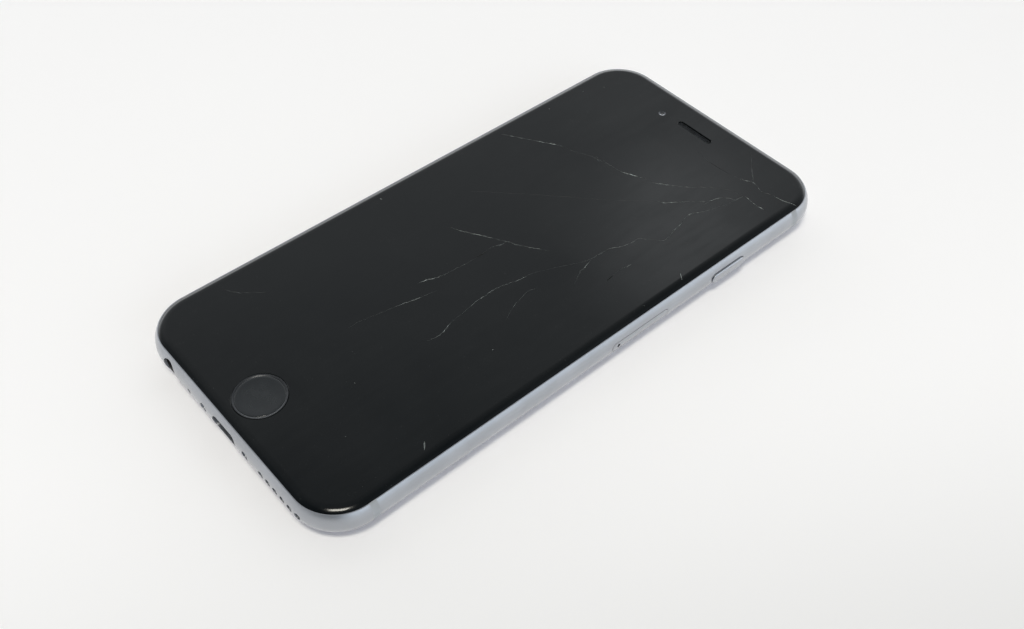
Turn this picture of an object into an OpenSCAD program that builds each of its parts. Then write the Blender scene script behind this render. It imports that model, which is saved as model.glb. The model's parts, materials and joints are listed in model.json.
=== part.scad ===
// Slim touchscreen phone with a cracked cover glass, lying on its back.
// +Z points up through the screen, +Y to the earpiece end, +X to the power button side.
// The origin is at the middle of the footprint, on the surface that the camera ring touches.

/* [Body] */
// Width across the housing, without the buttons
body_w = 67.1; // [56:0.1:82]
// Length from end to end
body_l = 138.3; // [115:0.1:168]
// Thickness from the back plane to the top of the glass
body_t = 7.1; // [7.1:0.1:9]
// Corner radius seen from above
corner_r = 10.5; // [9.5:0.1:12.6]
// Radius of the lower side, from the back plane up to the widest line
belly_r = 3.45; // [3:0.05:3.5]
// Radius of the upper side, from the widest line up to the rim
flank_r = 5; // [4.4:0.1:6]
// Height of the upper curve
flank_h = 2.9; // [2.4:0.05:2.95]
// How far the rim's top lies below the top of the glass
rim_drop = 0.65; // [0.6:0.05:0.75]
// Width of the rim's flat top
rim_land = 0.2; // [0.15:0.05:0.4]
// Height of the rim above the ledge that the screen frame rests on
rim_lip = 1.15; // [1.05:0.05:1.2]
// Width of that ledge
ledge_w = 1.1; // [0.8:0.05:1.4]
// Thickness of the back wall
back_wall = 0.75; // [0.6:0.05:1]
// Distance from each end to the middle of the antenna band
band_from_end = 11.35; // [10.7:0.05:12]
// Width of the antenna bands
band_w = 1.6; // [1.2:0.1:2]

/* [Screen] */
// Thickness of the cover glass
glass_t = 0.75; // [0.6:0.05:0.9]
// Drop of the glass's rounded edge
edge_drop = 0.6; // [0.4:0.05:0.6]
// Width of the glass's rounded edge
edge_w = 1.8; // [1.2:0.1:2.2]
// Gap between the glass and the metal rim
rim_gap = 0.05; // [0.05:0.05:0.15]
// Width of the plastic frame under the glass
frame_w = 2.5; // [2:0.1:2.7]
// Thickness of the picture panel
lcd_t = 0.85; // [0.6:0.05:0.9]
// Thickness of the steel plate behind the screen
shield_t = 0.3; // [0.2:0.05:0.3]
// Gap between the home button and the end of the picture panel
panel_gap = 2.75; // [2.75:0.05:4]
// Width of the cracks through the cover glass
crack_w = 0.06; // [0.04:0.01:0.1]

/* [Front openings] */
// Diameter of the home button
home_d = 10.8; // [9.5:0.1:11.2]
// Distance from the bottom end to the middle of the home button
home_from_end = 8.75; // [8.6:0.05:9]
// Gap around the home button
home_gap = 0.1; // [0.08:0.01:0.15]
// Travel of the home button
home_travel = 0.3; // [0.2:0.05:0.3]
// Length of the earpiece slot
ear_l = 10.2; // [8:0.1:12]
// Height of the earpiece slot
ear_h = 1.5; // [1.2:0.1:1.8]
// Distance from the top end to the middle of the earpiece slot
ear_from_end = 8.55; // [8:0.05:9]
// Sideways place of the front camera
selfie_x = -10.1; // [-12:0.1:-9.6]

/* [Side controls] */
// Height of the side controls above the back plane
side_z = 3.55; // [3.45:0.05:3.6]
// How far the side buttons stand out
button_proud = 0.4; // [0.3:0.05:0.6]
// Travel of the side buttons
button_travel = 0.3; // [0.2:0.05:0.3]
// Length of the power button
power_l = 10; // [7:0.1:12]
// Height of the side buttons
button_h = 2.3; // [1.8:0.1:2.4]
// Distance from the top end to the middle of the power button
power_from_top = 33.55; // [30:0.05:36]
// Length of each volume button
volume_l = 9; // [7:0.1:10.8]
// Distance from the top end to the middle of the upper volume button
volume_from_top = 33.55; // [33:0.05:36]
// Distance between the middles of the two volume buttons
volume_pitch = 12.4; // [12.4:0.1:14.9]
// Gap around the side buttons
button_gap = 0.12; // [0.1:0.01:0.2]
// Distance from the top end to the middle of the ring switch
ring_from_top = 20.5; // [19.5:0.05:21.5]
// Length of the ring switch's slot
ring_slot_l = 5.7; // [4.8:0.1:6]
// Height of the ring switch's lever
ring_lever_h = 1.5; // [1.2:0.1:1.6]
// Travel of the ring switch
ring_travel = 1.2; // [0.9:0.05:1.2]

/* [Card tray] */
// Distance from the top end to the middle of the card tray
tray_from_top = 60.15; // [58:0.05:62]
// Length of the tray's outer face
tray_l = 16; // [15:0.1:17]
// Height of the tray's outer face
tray_h = 1.8; // [1.6:0.1:2]
// Depth of the tray inside the housing wall
tray_depth = 18.5; // [16:0.1:19]
// Thickness of the tray's plate
tray_t = 1; // [0.9:0.05:1.1]
// Gap between the tray's face and its slot
tray_gap = 0.1; // [0.08:0.01:0.15]

/* [Bottom end] */
// Height of the bottom sockets above the back plane
socket_z = 3.55; // [3.4:0.05:3.55]
// Radius of the headphone socket's bore
jack_r = 1.78; // [1.77:0.01:1.8]
// Length of that bore
jack_l = 12; // [10:0.1:12]
// Sideways place of the headphone socket
jack_x = -20.3; // [-20.4:0.1:-18]
// Width of the charging socket's mouth
port_w = 7; // [6:0.1:8.4]
// Height of the charging socket's mouth
port_h = 1.9; // [1.6:0.1:2]
// Sideways place of each bottom screw
screw_x = 7.4; // [7.2:0.1:8]
// Sideways place of the first speaker hole
speaker_x = 12.9; // [12.8:0.1:13.2]
// Distance from one speaker hole to the next
speaker_pitch = 2.35; // [2.1:0.05:2.4]
// Number of speaker holes
speaker_holes = 6; // [4:1:6]
// Radius of the speaker holes
speaker_r = 0.75; // [0.6:0.05:0.8]

/* [Back camera] */
// How far the camera ring stands out of the back
ring_proud = 0.7; // [0.5:0.05:1]
// Outer radius of the camera ring
ring_r = 3.5; // [3.3:0.05:3.6]
// Distance from the right side to the middle of the camera
camera_from_side = 10.65; // [10.5:0.05:12]
// Distance from the top end to the middle of the camera
camera_from_top = 7.25; // [7.2:0.05:7.4]
// Travel of the focusing lens
focus_travel = 0.3; // [0.2:0.05:0.3]

/* [Inside] */
// Width of the circuit board
board_w = 21; // [18:0.1:22]
// Thickness of the circuit board
board_t = 0.7; // [0.5:0.05:0.8]
// Space between the left wall and the battery
side_room = 2.65; // [2.5:0.05:3]

/* [Hidden] */
$fn = 48;
tie = 0.01; // overlap that makes two blocks of one piece a single solid

half_w = body_w / 2;
half_l = body_l / 2;

// Plan insets of the rim, the glass and the inner walls, from the housing's outline
rim_out = flank_r - sqrt(flank_r * flank_r - flank_h * flank_h);
rim_in = rim_out + rim_land;
glass_in = rim_in + rim_gap;
bay_in = rim_in + ledge_w;
bay_x = half_w - bay_in; // inner face of the side walls
bay_y = half_l - bay_in; // inner face of the end walls

// Heights above the back plane
rim_z = body_t - rim_drop;
ledge_z = rim_z - rim_lip;
glass_z = body_t - glass_t;
lcd_z = glass_z - lcd_t;
reader_top = side_z + tray_t / 2 + 0.15; // underside of the card reader's cover
reader_cover_t = 0.2;
shield_z = reader_top + reader_cover_t + 0.1;
backlight_z = shield_z + shield_t; // the backlight fills the room up to the picture panel
floor_z = back_wall;
board_lift = 0.6; // gap under the circuit board
board_z = floor_z + board_lift;
board_top = board_z + board_t;

// Screen
glass_w = body_w - 2 * glass_in;
glass_l = body_l - 2 * glass_in;
glass_r = corner_r - glass_in;
edge_r = (edge_w * edge_w + edge_drop * edge_drop) / (2 * edge_drop);
frame_x = glass_w / 2 - frame_w; // inner faces of the screen frame
frame_y = glass_l / 2 - frame_w;
home_y = -half_l + home_from_end;
home_r = home_d / 2;
panel_from_end = home_from_end + home_r + panel_gap;
panel_clear = 0.05;
lcd_x = frame_x - panel_clear;
lcd_top = half_l - panel_from_end;
driver_strip = 1.2; // the panel's driver strip lies below the picture
lcd_bottom = -half_l + panel_from_end - driver_strip;
ear_y = half_l - ear_from_end;

// Antenna bands
band_y = half_l - band_from_end;

// Places along the sides
power_y = half_l - power_from_top;
volume_up_y = half_l - volume_from_top;
volume_down_y = volume_up_y - volume_pitch;
ring_y = half_l - ring_from_top;
tray_y = half_l - tray_from_top;

// Button shanks, from the inner wall inwards
flange_gap = 0.05;
flange_t = 0.6;
flange_wing = 0.8;
dome_gap = 0.05;
dome_t = 0.4;
switch_t = 0.4;
plate_t = 0.3;
dome_x = bay_x - flange_gap - flange_t - button_travel - dome_gap;
plate_x = dome_x - dome_t - switch_t;

// Inside layout
board_wall_gap = 1.05;
board_from_top = 12.55;
board_from_bottom = 33.15;
board_x1 = bay_x - board_wall_gap;
board_x0 = board_x1 - board_w;
board_y1 = half_l - board_from_top;
board_y0 = -half_l + board_from_bottom;
battery_gap = 1; // between the battery and the circuit board
battery_from_top = 20.55;
battery_from_bottom = 22.15;
battery_swell = 0.35; // room above the battery for it to swell
battery_x0 = -bay_x + side_room;
battery_x1 = board_x0 - battery_gap;
battery_y0 = -half_l + battery_from_bottom;
battery_y1 = half_l - battery_from_top;
adhesive_t = 0.2;
battery_z = floor_z + adhesive_t;
battery_top = shield_z - battery_swell;
flash_from_camera = 10;
mic_from_camera = 6.2;
flash_r = 1.9;
rear_mic_r = 0.45;
ring_foot = 0.6; // width of the camera ring that lies on the back
camera_half = 3.7; // half the side of the square camera module
camera_x = half_w - camera_from_side;
camera_y = half_l - camera_from_top;
flash_x = camera_x - flash_from_camera;
mic_x = camera_x - mic_from_camera;
ring_hole_r = ring_r - ring_foot;
camera_top = shield_z - 0.3;

// Card tray and its reader
tray_in_x = bay_x - tray_depth;
tray_wall_gap = 0.3;
tray_y0 = tray_y - tray_l / 2 + 4; // the plate is set back from the pin hole
tray_y1 = tray_y + tray_l / 2 - 0.6;
pin_y = tray_y - tray_l / 2 + 1.7;
pin_r = 0.4;
reader_rail = 0.5;
reader_x0 = tray_in_x - 0.5;
reader_x1 = bay_x - 1.45;
reader_y0 = tray_y0 - tray_wall_gap - reader_rail;
reader_y1 = tray_y1 + tray_wall_gap + reader_rail;

// Bottom end and plugs
port_y0 = -half_l + 10.6; // inner end of the charging socket
plug_y = board_y0 + 7; // middle of the battery's plug
plug_w = 6;
display_plug_y = board_y1 - 6.1;
motor_x0 = board_x0 + 0.6;
flex_x1 = board_x1 - 3.4; // right edge of the charging socket's cable

// Cracks, placed from the housing's top right corner: their points are those of a body of 67.1 x 138.3
from_corner = [half_w - 33.55, half_l - 69.15];
hit = [22.5, 52.7];
CRACKS = [
    // long crack to the left edge
    [hit, [19.5, 51.7], [15.8, 49], [12.2, 45], [9, 42.4], [6.7, 40.6], [2, 39], [-1.7, 37.1],
     [-4, 37], [-10, 35.7], [-13.7, 34], [-17, 33], [-24, 28.6], [-29.8, 24.8]],
    // crack that leaves at the struck corner
    [[33.2, 60.2], [30.8, 58.7], [28.8, 58], [26.4, 57.6], [24, 56.8], [21, 57.7], [19.4, 57],
     [17.4, 56], [14, 55.5], [9.6, 55.3], [4.8, 56]],
    // main crack towards the home button
    [hit, [21.8, 48], [20.1, 42], [18.7, 39], [19.8, 33], [20.6, 29], [16.6, 24.5], [16.1, 20.5],
     [14.6, 15], [13.7, 10.2], [11, 4], [9.4, 0], [8.3, -6.2], [7.8, -10], [8.5, -16.5],
     [9.8, -23], [10.3, -25.3], [9.8, -27.8]],
    // straight faint crack down the middle
    [[19.6, 48.6], [18.3, 45.2], [15.5, 41.5], [12.7, 38], [2, 27], [-7, 18.5], [-18.7, 6.8]],
    // short cracks around the struck point
    [hit, [26, 52.4], [29, 52.7]],
    [[21, 57.7], [17.5, 61], [13.7, 65]],
    [[19.6, 48.6], [19.3, 46], [18.7, 42.6]],
    // branches of the main crack
    [[14.6, 13], [15.7, 8.8], [18, 4.4]],
    [[21.4, 19], [20.8, 15.5], [21.1, 12], [21.7, 10]],
    [[13.3, -1.6], [12.8, -3.8], [14, -8.5], [16, -12.5]],
    // cracks on the left of the main one
    [[-13, -4], [-9.7, -2.6], [-5.3, 0], [-1, 2.7], [4.7, 6], [7.1, 7.7]],
    [[-1, 2.7], [-1.9, -1], [-1.7, -8], [-2.3, -14.8], [-3.7, -19.7]],
    [[0.4, -17.5], [-0.5, -22.7], [-2.1, -30.2], [-3.1, -35.6], [-2.9, -38.5]],
    // faint crack at the lower left
    [[-28.4, -51], [-25.5, -49], [-21.8, -44.5]]
];
// Chips out of the glass's long edges: [side, place along Y, length, depth]
EDGE_CHIPS = [
    [1, 23.4, 1.2, 0.4],
    [1, -43.8, 1.2, 0.4],
    [-1, -9.9, 0.8, 0.35],
    [-1, 40.3, 0.8, 0.35]
];
corner_chip = [2.2, 0.5]; // length and depth of the chip at the struck corner
corner_chip_turn = 9.6; // where that chip lies round the corner, from +X

// ---- helpers ----

module at_back() translate([0, 0, ring_proud]) children();

// A box from its two corners
module block(x0, x1, y0, y1, z0, z1) translate([x0, y0, z0]) cube([x1 - x0, y1 - y0, z1 - z0]);

module post(x, y, z0, z1, r) translate([x, y, z0]) cylinder(h = z1 - z0, r = r);

// Turns and extrudes a section round a rounded rectangle; the section starts at the corner centre
module round_slab(w, l, r, z0, z1) {
    dx = w / 2 - r;
    dy = l / 2 - r;
    for (c = [[dx, dy, 0], [-dx, dy, 90], [-dx, -dy, 180], [dx, -dy, 270]])
        translate([c[0], c[1], 0]) rotate([0, 0, c[2]]) rotate_extrude(angle = 90) children();
    for (s = [[dx, dy, 0], [dy, dx, 90], [dx, dy, 180], [dy, dx, 270]])
        rotate([0, 0, s[2]]) translate([s[0], s[1], 0]) rotate([90, 0, 0])
            linear_extrude(2 * s[1]) children();
    block(-dx, dx, -dy, dy, z0, z1);
}

// A rounded rectangle with upright sides
module slab(w, l, r, z0, z1) round_slab(w, l, r, z0, z1) translate([0, z0]) square([r, z1 - z0]);

module pill(length, height) {
    square([length - height, height], center = true);
    for (s = [-1, 1]) translate([s * (length - height) / 2, 0]) circle(d = height);
}

module soft_rect(length, height, r) {
    square([length - 2 * r, height], center = true);
    square([length, height - 2 * r], center = true);
    for (sx = [-1, 1], sy = [-1, 1])
        translate([sx * (length / 2 - r), sy * (height / 2 - r)]) circle(r = r);
}

// Extrudes a shape drawn on the right side along +X, from x0 to x1
module right_side(y, z, x0, x1)
    translate([x0, y, z]) rotate([90, 0, 90]) linear_extrude(x1 - x0) children();

// A hole of the same shape through the right wall
module right_wall_hole(y) right_side(y, side_z, bay_x - 1, half_w + 1) children();

// The same for the bottom end, from y0 down to y1
module bottom_end(x, z, y0, y1)
    translate([x, y0, z]) rotate([90, 0, 0]) linear_extrude(y0 - y1) children();

module bottom_wall_hole(x) bottom_end(x, socket_z, -bay_y + 1, -half_l - 1) children();

module back_hole(x, r) post(x, camera_y, -1, floor_z + 1, r);

// ---- housing ----

ring_lever_gap = 0.15; // between the ring switch's lever and its slot
ring_corner_r = 0.6;

// Outer section of the side, from the corner centre to the widest line
module side_section(r) {
    straight_top = rim_z - flank_h;
    square([r - belly_r, belly_r]);
    intersection() {
        translate([r - belly_r, belly_r]) circle(r = belly_r);
        translate([r - belly_r, 0]) square(belly_r);
    }
    translate([0, belly_r]) square([r, straight_top - belly_r]);
    translate([0, straight_top]) square([r - flank_r, flank_h]);
    intersection() {
        translate([r - flank_r, straight_top]) circle(r = flank_r);
        translate([r - flank_r, straight_top]) square([flank_r, flank_h]);
    }
}

module outer_body() round_slab(body_w, body_l, corner_r, 0, rim_z) side_section(corner_r);

// The part of the shell between two places along its length
module shell_length(y0, y1) {
    difference() {
        intersection() {
            outer_body();
            block(-half_w - 1, half_w + 1, y0, y1, -1, body_t);
        }
        slab(body_w - 2 * bay_in, body_l - 2 * bay_in, corner_r - bay_in, floor_z, body_t);
        slab(body_w - 2 * rim_in, body_l - 2 * rim_in, corner_r - rim_in, ledge_z, body_t);
    }
}

module housing_top() {
    color("#8d929b") at_back() difference() {
        shell_length(band_y + band_w / 2, half_l + 1);
        back_hole(camera_x, ring_hole_r);
        back_hole(flash_x, flash_r + 0.05);
        back_hole(mic_x, rear_mic_r);
    }
}

module housing_middle() {
    slot = 2 * button_gap;
    color("#8d929b") at_back() difference() {
        shell_length(-band_y + band_w / 2, band_y - band_w / 2);
        right_wall_hole(power_y) pill(power_l + slot, button_h + slot);
        right_wall_hole(tray_y) pill(tray_l + 2 * tray_gap, tray_h + 2 * tray_gap);
        mirror([1, 0, 0]) {
            for (y = [volume_up_y, volume_down_y])
                right_wall_hole(y) pill(volume_l + slot, button_h + slot);
            right_wall_hole(ring_y)
                soft_rect(ring_slot_l, ring_lever_h + ring_travel + 2 * ring_lever_gap, ring_corner_r);
        }
    }
}

screw_head_r = 0.9;
screw_shank_r = 0.6;
screw_sink = 1.1; // depth of the screw heads' recess, from the bottom end
mouth_gap = 0.5; // the housing's opening is wider than the socket's mouth
barrel_r = jack_r + 0.2; // outside of the headphone socket's barrel, which reaches into the housing
barrel_y = -half_l + 0.5; // where the barrel ends
bottom_mic_x = -12.6;
bottom_mic_r = 0.5;

module housing_bottom() {
    color("#8d929b") at_back() difference() {
        shell_length(-half_l - 1, -band_y - band_w / 2);
        bottom_wall_hole(jack_x) circle(r = barrel_r + 0.07);
        bottom_wall_hole(0) pill(port_w + 2 * mouth_gap, port_h + 2 * mouth_gap);
        bottom_wall_hole(bottom_mic_x) circle(r = bottom_mic_r);
        for (s = [-1, 1]) {
            bottom_wall_hole(s * screw_x) circle(r = screw_shank_r + 0.1);
            bottom_end(s * screw_x, socket_z, -half_l + screw_sink, -half_l - 1)
                circle(r = screw_head_r + 0.05);
        }
        for (i = [0:speaker_holes - 1])
            bottom_wall_hole(speaker_x + i * speaker_pitch) circle(r = speaker_r);
    }
}

module antenna_bands() {
    color("#6f747c") at_back() for (s = [-1, 1])
        shell_length(s * band_y - band_w / 2, s * band_y + band_w / 2);
}

// ---- screen ----

// Direction across a line of points at point i
function across(p, i) =
    let (a = p[max(0, i - 1)], b = p[min(len(p) - 1, i + 1)], d = (b - a) / norm(b - a))
    [-d[1], d[0]];

// Outline of a crack of width w along a line of points
function crack_outline(p, w) = concat(
    [for (i = [0:len(p) - 1]) p[i] + across(p, i) * w / 2],
    [for (i = [len(p) - 1:-1:0]) p[i] - across(p, i) * w / 2]
);

// Section of the glass, with its top edge rounded down
module glass_section(r) {
    translate([0, glass_z]) square([r - edge_w, glass_t]);
    intersection() {
        translate([r - edge_w, body_t - edge_r]) circle(r = edge_r);
        translate([r - edge_w, glass_z]) square([edge_w, glass_t]);
    }
}

// A flake missing from the glass's edge, which lies at x = 0
module chip(length, depth) {
    notch = [[0, -length / 2], [-depth, -length / 6], [-0.7 * depth, length / 4], [0, length / 2]];
    translate([0, 0, body_t - 0.75 * edge_drop]) linear_extrude(1)
        polygon(concat([[1, -length / 2]], notch, [[1, length / 2]]));
}

module cover_glass() {
    color("#15181b") at_back() difference() {
        round_slab(glass_w, glass_l, glass_r, glass_z, body_t) glass_section(glass_r);
        post(0, home_y, glass_z - 1, body_t + 1, home_r + home_gap);
        translate([0, ear_y, glass_z - 1]) linear_extrude(glass_t + 2) pill(ear_l, ear_h);
        translate([from_corner[0], from_corner[1], glass_z - 1]) linear_extrude(glass_t + 2)
            for (p = CRACKS) polygon(crack_outline(p, crack_w));
        for (c = EDGE_CHIPS) translate([c[0] * glass_w / 2, from_corner[1] + c[1], 0])
            rotate([0, 0, c[0] > 0 ? 0 : 180]) chip(c[2], c[3]);
        translate([glass_w / 2 - glass_r, glass_l / 2 - glass_r, 0]) rotate([0, 0, corner_chip_turn])
            translate([glass_r, 0, 0]) chip(corner_chip[0], corner_chip[1]);
    }
}

home_relief = 1.3; // room round the home button for its gasket
jack_relief = 0.07; // gap between the headphone socket and the screen frame
jack_shell_r = jack_r + 0.25;

module display_frame() {
    color("#1b1c1e") at_back() {
        difference() {
            slab(glass_w, glass_l, glass_r, ledge_z, glass_z);
            slab(2 * frame_x, 2 * frame_y, glass_r - frame_w, ledge_z - 1, glass_z + 1);
            post(0, home_y, ledge_z - 1, glass_z + 1, home_r + home_relief);
            bottom_end(jack_x, socket_z, -bay_y + 2, -half_l) circle(r = jack_shell_r + jack_relief);
        }
        // bar between the picture panel and the earpiece
        block(-frame_x, frame_x, lcd_top + panel_clear, lcd_top + 1.9, ledge_z, glass_z);
    }
}

module lcd_panel() {
    color("#101114") at_back() {
        block(-lcd_x, lcd_x, lcd_bottom, lcd_top, lcd_z + 0.4, glass_z);
        block(-lcd_x, lcd_x, lcd_bottom + 2, lcd_top, lcd_z, lcd_z + 0.4);
    }
}

module backlight_unit() {
    color("#d9dcd8") at_back() difference() {
        block(-lcd_x, lcd_x, lcd_bottom + 0.1, lcd_top, backlight_z, lcd_z);
        block(-lcd_x + 3, lcd_x - 3, lcd_top - 1.2, lcd_top + 1, backlight_z - 1, backlight_z + 0.3);
    }
}

module display_shield_plate() {
    color("#a9acad") at_back() translate([0, (lcd_bottom + lcd_top) / 2, shield_z]) linear_extrude(shield_t)
        soft_rect(2 * lcd_x - 1, lcd_top - lcd_bottom - 4, 2);
}

plug_h = 0.85; // height of the screen cables' plugs

module display_flex_cables() {
    flex_t = 0.15;
    flex_half = 2.2; // half the width of a cable
    low = board_top + 0.4; // underside of the stretch that leaves the plug
    top = backlight_z + 0.45;
    turn_y = board_y1 - 1.2;
    color("#c98b3c") at_back() for (x = [board_x0 + 3, board_x0 + 9.5, board_x0 + 16]) {
        x0 = x - flex_half;
        x1 = x + flex_half;
        block(x - 2.5, x + 2.5, display_plug_y - 1.5, display_plug_y + 1.5, board_top, board_top + plug_h);
        block(x0, x1, display_plug_y + 1.5, turn_y, low, low + flex_t);
        block(x0, x1, turn_y - flex_t, turn_y, low, top - flex_t);
        block(x0, x1, lcd_top, turn_y, top - flex_t, top);
    }
}

// ---- home button ----

ring_w = 0.45; // width of the trim ring
home_cap_z = body_t - 0.6;
gasket_z = glass_z - 0.2;
home_flange_z = gasket_z - 0.3;
home_switch_z = home_flange_z - home_travel - 0.35;
home_bracket_z = home_switch_z - 0.25;

module home_button_cap() {
    cap_r = home_r - ring_w - 0.03;
    cap_top = body_t - 0.05;
    dish = 0.12; // the cap is slightly hollow
    color("#26292d") at_back() difference() {
        post(0, home_y, home_cap_z, cap_top, cap_r);
        translate([0, home_y, cap_top - dish]) cylinder(h = 2 * dish, r1 = 0.5, r2 = 2 * cap_r - 0.7);
    }
}

module home_button_ring() {
    flange_top = home_flange_z + 0.25;
    color("#4b4f55") at_back() {
        post(0, home_y, home_flange_z, flange_top, home_r + 0.8);
        post(0, home_y, flange_top, home_cap_z, home_r);
        difference() {
            post(0, home_y, home_cap_z, body_t - 0.02, home_r);
            post(0, home_y, home_cap_z - 1, body_t + 1, home_r - ring_w);
        }
    }
}

module home_button_gasket() {
    color("#151515") at_back() difference() {
        post(0, home_y, gasket_z, glass_z, home_r + 1.1);
        post(0, home_y, gasket_z - 1, glass_z + 1, home_r + home_gap + 0.05);
    }
}

module home_button_switch() {
    color("#b9bcbc") at_back() {
        block(-2.6, 2.6, home_y - 2, home_y + 2, home_switch_z - 0.05, home_switch_z + 0.1);
        post(0, home_y, home_switch_z + 0.1, home_switch_z + 0.3, 1.6);
    }
}

module home_button_bracket() {
    leg_x = home_r + 4.2;
    leg_w = 1.6;
    color("#b3b6b8") at_back() {
        block(-leg_x, leg_x, home_y - 4, home_y + 4, home_bracket_z, home_switch_z - 0.05);
        for (x = [-leg_x, leg_x - leg_w])
            block(x, x + leg_w, home_y - 4, home_y + 4, home_bracket_z, glass_z);
    }
}

// ---- top end, under the glass ----

mesh_t = 0.15; // thickness of the earpiece mesh's rim
mesh_sink = 0.25; // how far the mesh lies below the top of the glass
ear_box_z = glass_z - 1.85;
selfie_y = ear_y - 1.1;
selfie_r = 1.6;

module earpiece_mesh() {
    color("#2b2d30") at_back() translate([0, ear_y, 0]) {
        translate([0, 0, glass_z - mesh_t]) linear_extrude(mesh_t) pill(ear_l + 1, ear_h + 1);
        translate([0, 0, glass_z]) linear_extrude(glass_t - mesh_sink) pill(ear_l - 0.1, ear_h - 0.1);
    }
}

module earpiece_speaker() {
    color("#3a3a3a") at_back() block(-6, 6, ear_y - 2.6, ear_y + 2.6, ear_box_z, glass_z - mesh_t);
}

module front_camera() {
    barrel_z = glass_z - 0.5;
    color("#202225") at_back() {
        block(selfie_x - 3, selfie_x + 3, ear_y - 3.6, ear_y + 2.4, ear_box_z, barrel_z);
        post(selfie_x, selfie_y, barrel_z, glass_z, selfie_r);
    }
}

module proximity_sensor() {
    color("#2f3033") at_back() block(-2.5, 2.5, frame_y - 2.1, frame_y - 0.2, glass_z - 1.2, glass_z);
}

module earpiece_bracket() {
    x0 = selfie_x - 4;
    y0 = ear_y - 3.6;
    y1 = ear_y + 3;
    color("#b3b6b8") at_back() {
        block(x0, 7.6, y0, y1, ear_box_z - 0.2, ear_box_z);
        for (x = [x0, 6.6]) block(x, x + 0.8, y0, y1, ear_box_z, glass_z);
    }
}

// ---- back camera ----

sleeve_r = ring_hole_r - 0.05;
window_r = ring_r - 0.95;
window_z = -0.15;

module camera_ring() {
    color("#9a9ea5") at_back() difference() {
        union() {
            post(camera_x, camera_y, -ring_proud, 0, ring_r);
            post(camera_x, camera_y, 0, floor_z, sleeve_r);
        }
        post(camera_x, camera_y, -ring_proud - 1, window_z, window_r + 0.02);
        post(camera_x, camera_y, window_z - 1, floor_z + 1, window_r - 0.35);
    }
}

module camera_window() {
    color("#0c0e12") at_back() post(camera_x, camera_y, window_z - 0.4, window_z, window_r);
}

lens_r = 1.85;

module rear_camera_module() {
    color("#1a1a1c") at_back() difference() {
        block(camera_x - camera_half, camera_x + camera_half, camera_y - camera_half, camera_y + camera_half,
              floor_z, camera_top);
        post(camera_x, camera_y, floor_z - 1, camera_top - 0.8, lens_r + 0.1);
    }
}

module rear_camera_lens() {
    lens_z = window_z + 0.1 + focus_travel;
    color("#23242a") at_back() difference() {
        post(camera_x, camera_y, lens_z, camera_top - 1.1, lens_r);
        post(camera_x, camera_y, lens_z - 1, lens_z + 0.3, lens_r - 0.7);
    }
}

module rear_camera_bracket() {
    x0 = camera_x - camera_half - 0.6;
    y0 = camera_y - 3.5;
    y1 = camera_y + 2.5;
    color("#b3b6b8") at_back() {
        block(x0, camera_x + camera_half, y0, y1, camera_top, camera_top + 0.2);
        block(x0, x0 + 0.3, y0, y1, floor_z, camera_top);
    }
}

module flash_window() {
    color("#e8e6c8") at_back() post(flash_x, camera_y, 0, floor_z, flash_r);
}

module flash_led() {
    half = 1.7;
    color("#d8d29a") at_back()
        block(flash_x - half, flash_x + half, camera_y - half, camera_y + half, floor_z, floor_z + 0.85);
}

module rear_microphone() {
    color("#8a8578") at_back()
        block(mic_x - 1.2, mic_x + 1.2, camera_y - 1.5, camera_y + 1.5, floor_z, floor_z + 0.95);
}

// ---- circuit board and battery ----

shield_gap = 0.8;
shield_top = board_top + 1.4;
upper_shield = [reader_y1 + 2 * shield_gap + 1, display_plug_y - 1.9 - shield_gap];
lower_shield = [plug_y + plug_w / 2 + 1, reader_y0 - 2.4];
standoff_r = 1.1;
standoff_at = [
    for (y = [board_y0 + 2, reader_y1 + 1.3, board_y1 - 2], x = [board_x0 + 1.3, board_x1 - 1.3]) [x, y]
];

module logic_board() {
    color("#16407a") at_back() difference() {
        block(board_x0, board_x1, board_y0, board_y1, board_z, board_top);
        for (p = standoff_at) post(p[0], p[1], board_z - 1, board_top + 1, board_hole_r);
    }
}

module board_standoffs() {
    color("#b08d4a") at_back() for (p = standoff_at) post(p[0], p[1], floor_z, board_z, standoff_r);
}

module board_shields() {
    color("#b7babb") at_back() for (s = [upper_shield, lower_shield])
        block(board_x0 + 1, board_x1 - 1.9, s[0], s[1], board_top, shield_top);
}

module board_chips() {
    color("#1d1e20") at_back() {
        for (c = [[0.3, 11, 10], [0.52, 8, 8], [0.72, 12, 9]]) {
            y = board_y0 + (board_y1 - board_y0) * c[0];
            block(board_x0 + 4, board_x0 + 4 + c[1], y - c[2] / 2, y + c[2] / 2, board_z - 0.5, board_z);
        }
        block(board_x1 - 5, board_x1 - 2.9, plug_y - 2, plug_y + 2, board_top, board_top + 0.8);
    }
}

module battery() {
    color("#2a2b2d") at_back() block(battery_x0, battery_x1, battery_y0, battery_y1, battery_z, battery_top);
}

module battery_adhesive_strips() {
    strip_w = 8;
    color("#e9e9e4") at_back() for (x = [battery_x0 + 2, battery_x1 - 2 - strip_w])
        block(x, x + strip_w, battery_y0 + 2, battery_y1 - 2, floor_z, battery_z);
}

battery_plug_top = board_top + 0.9;

module battery_lead() {
    color("#c98b3c") at_back() {
        block(battery_x1, board_x0 + 2.5, plug_y - 1.5, plug_y + 1.5, board_top + 0.2, board_top + 0.35);
        block(board_x0 + 2, board_x0 + 6, plug_y - plug_w / 2, plug_y + plug_w / 2,
              board_top, battery_plug_top);
    }
}

module battery_lead_bracket() {
    half = 2.6;
    color("#b3b6b8") at_back() {
        block(board_x0 + 2, board_x0 + 8, plug_y - half, plug_y + half,
              battery_plug_top, battery_plug_top + 0.25);
        block(board_x0 + 7, board_x0 + 8, plug_y - half, plug_y + half, board_top, battery_plug_top);
    }
}

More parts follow.
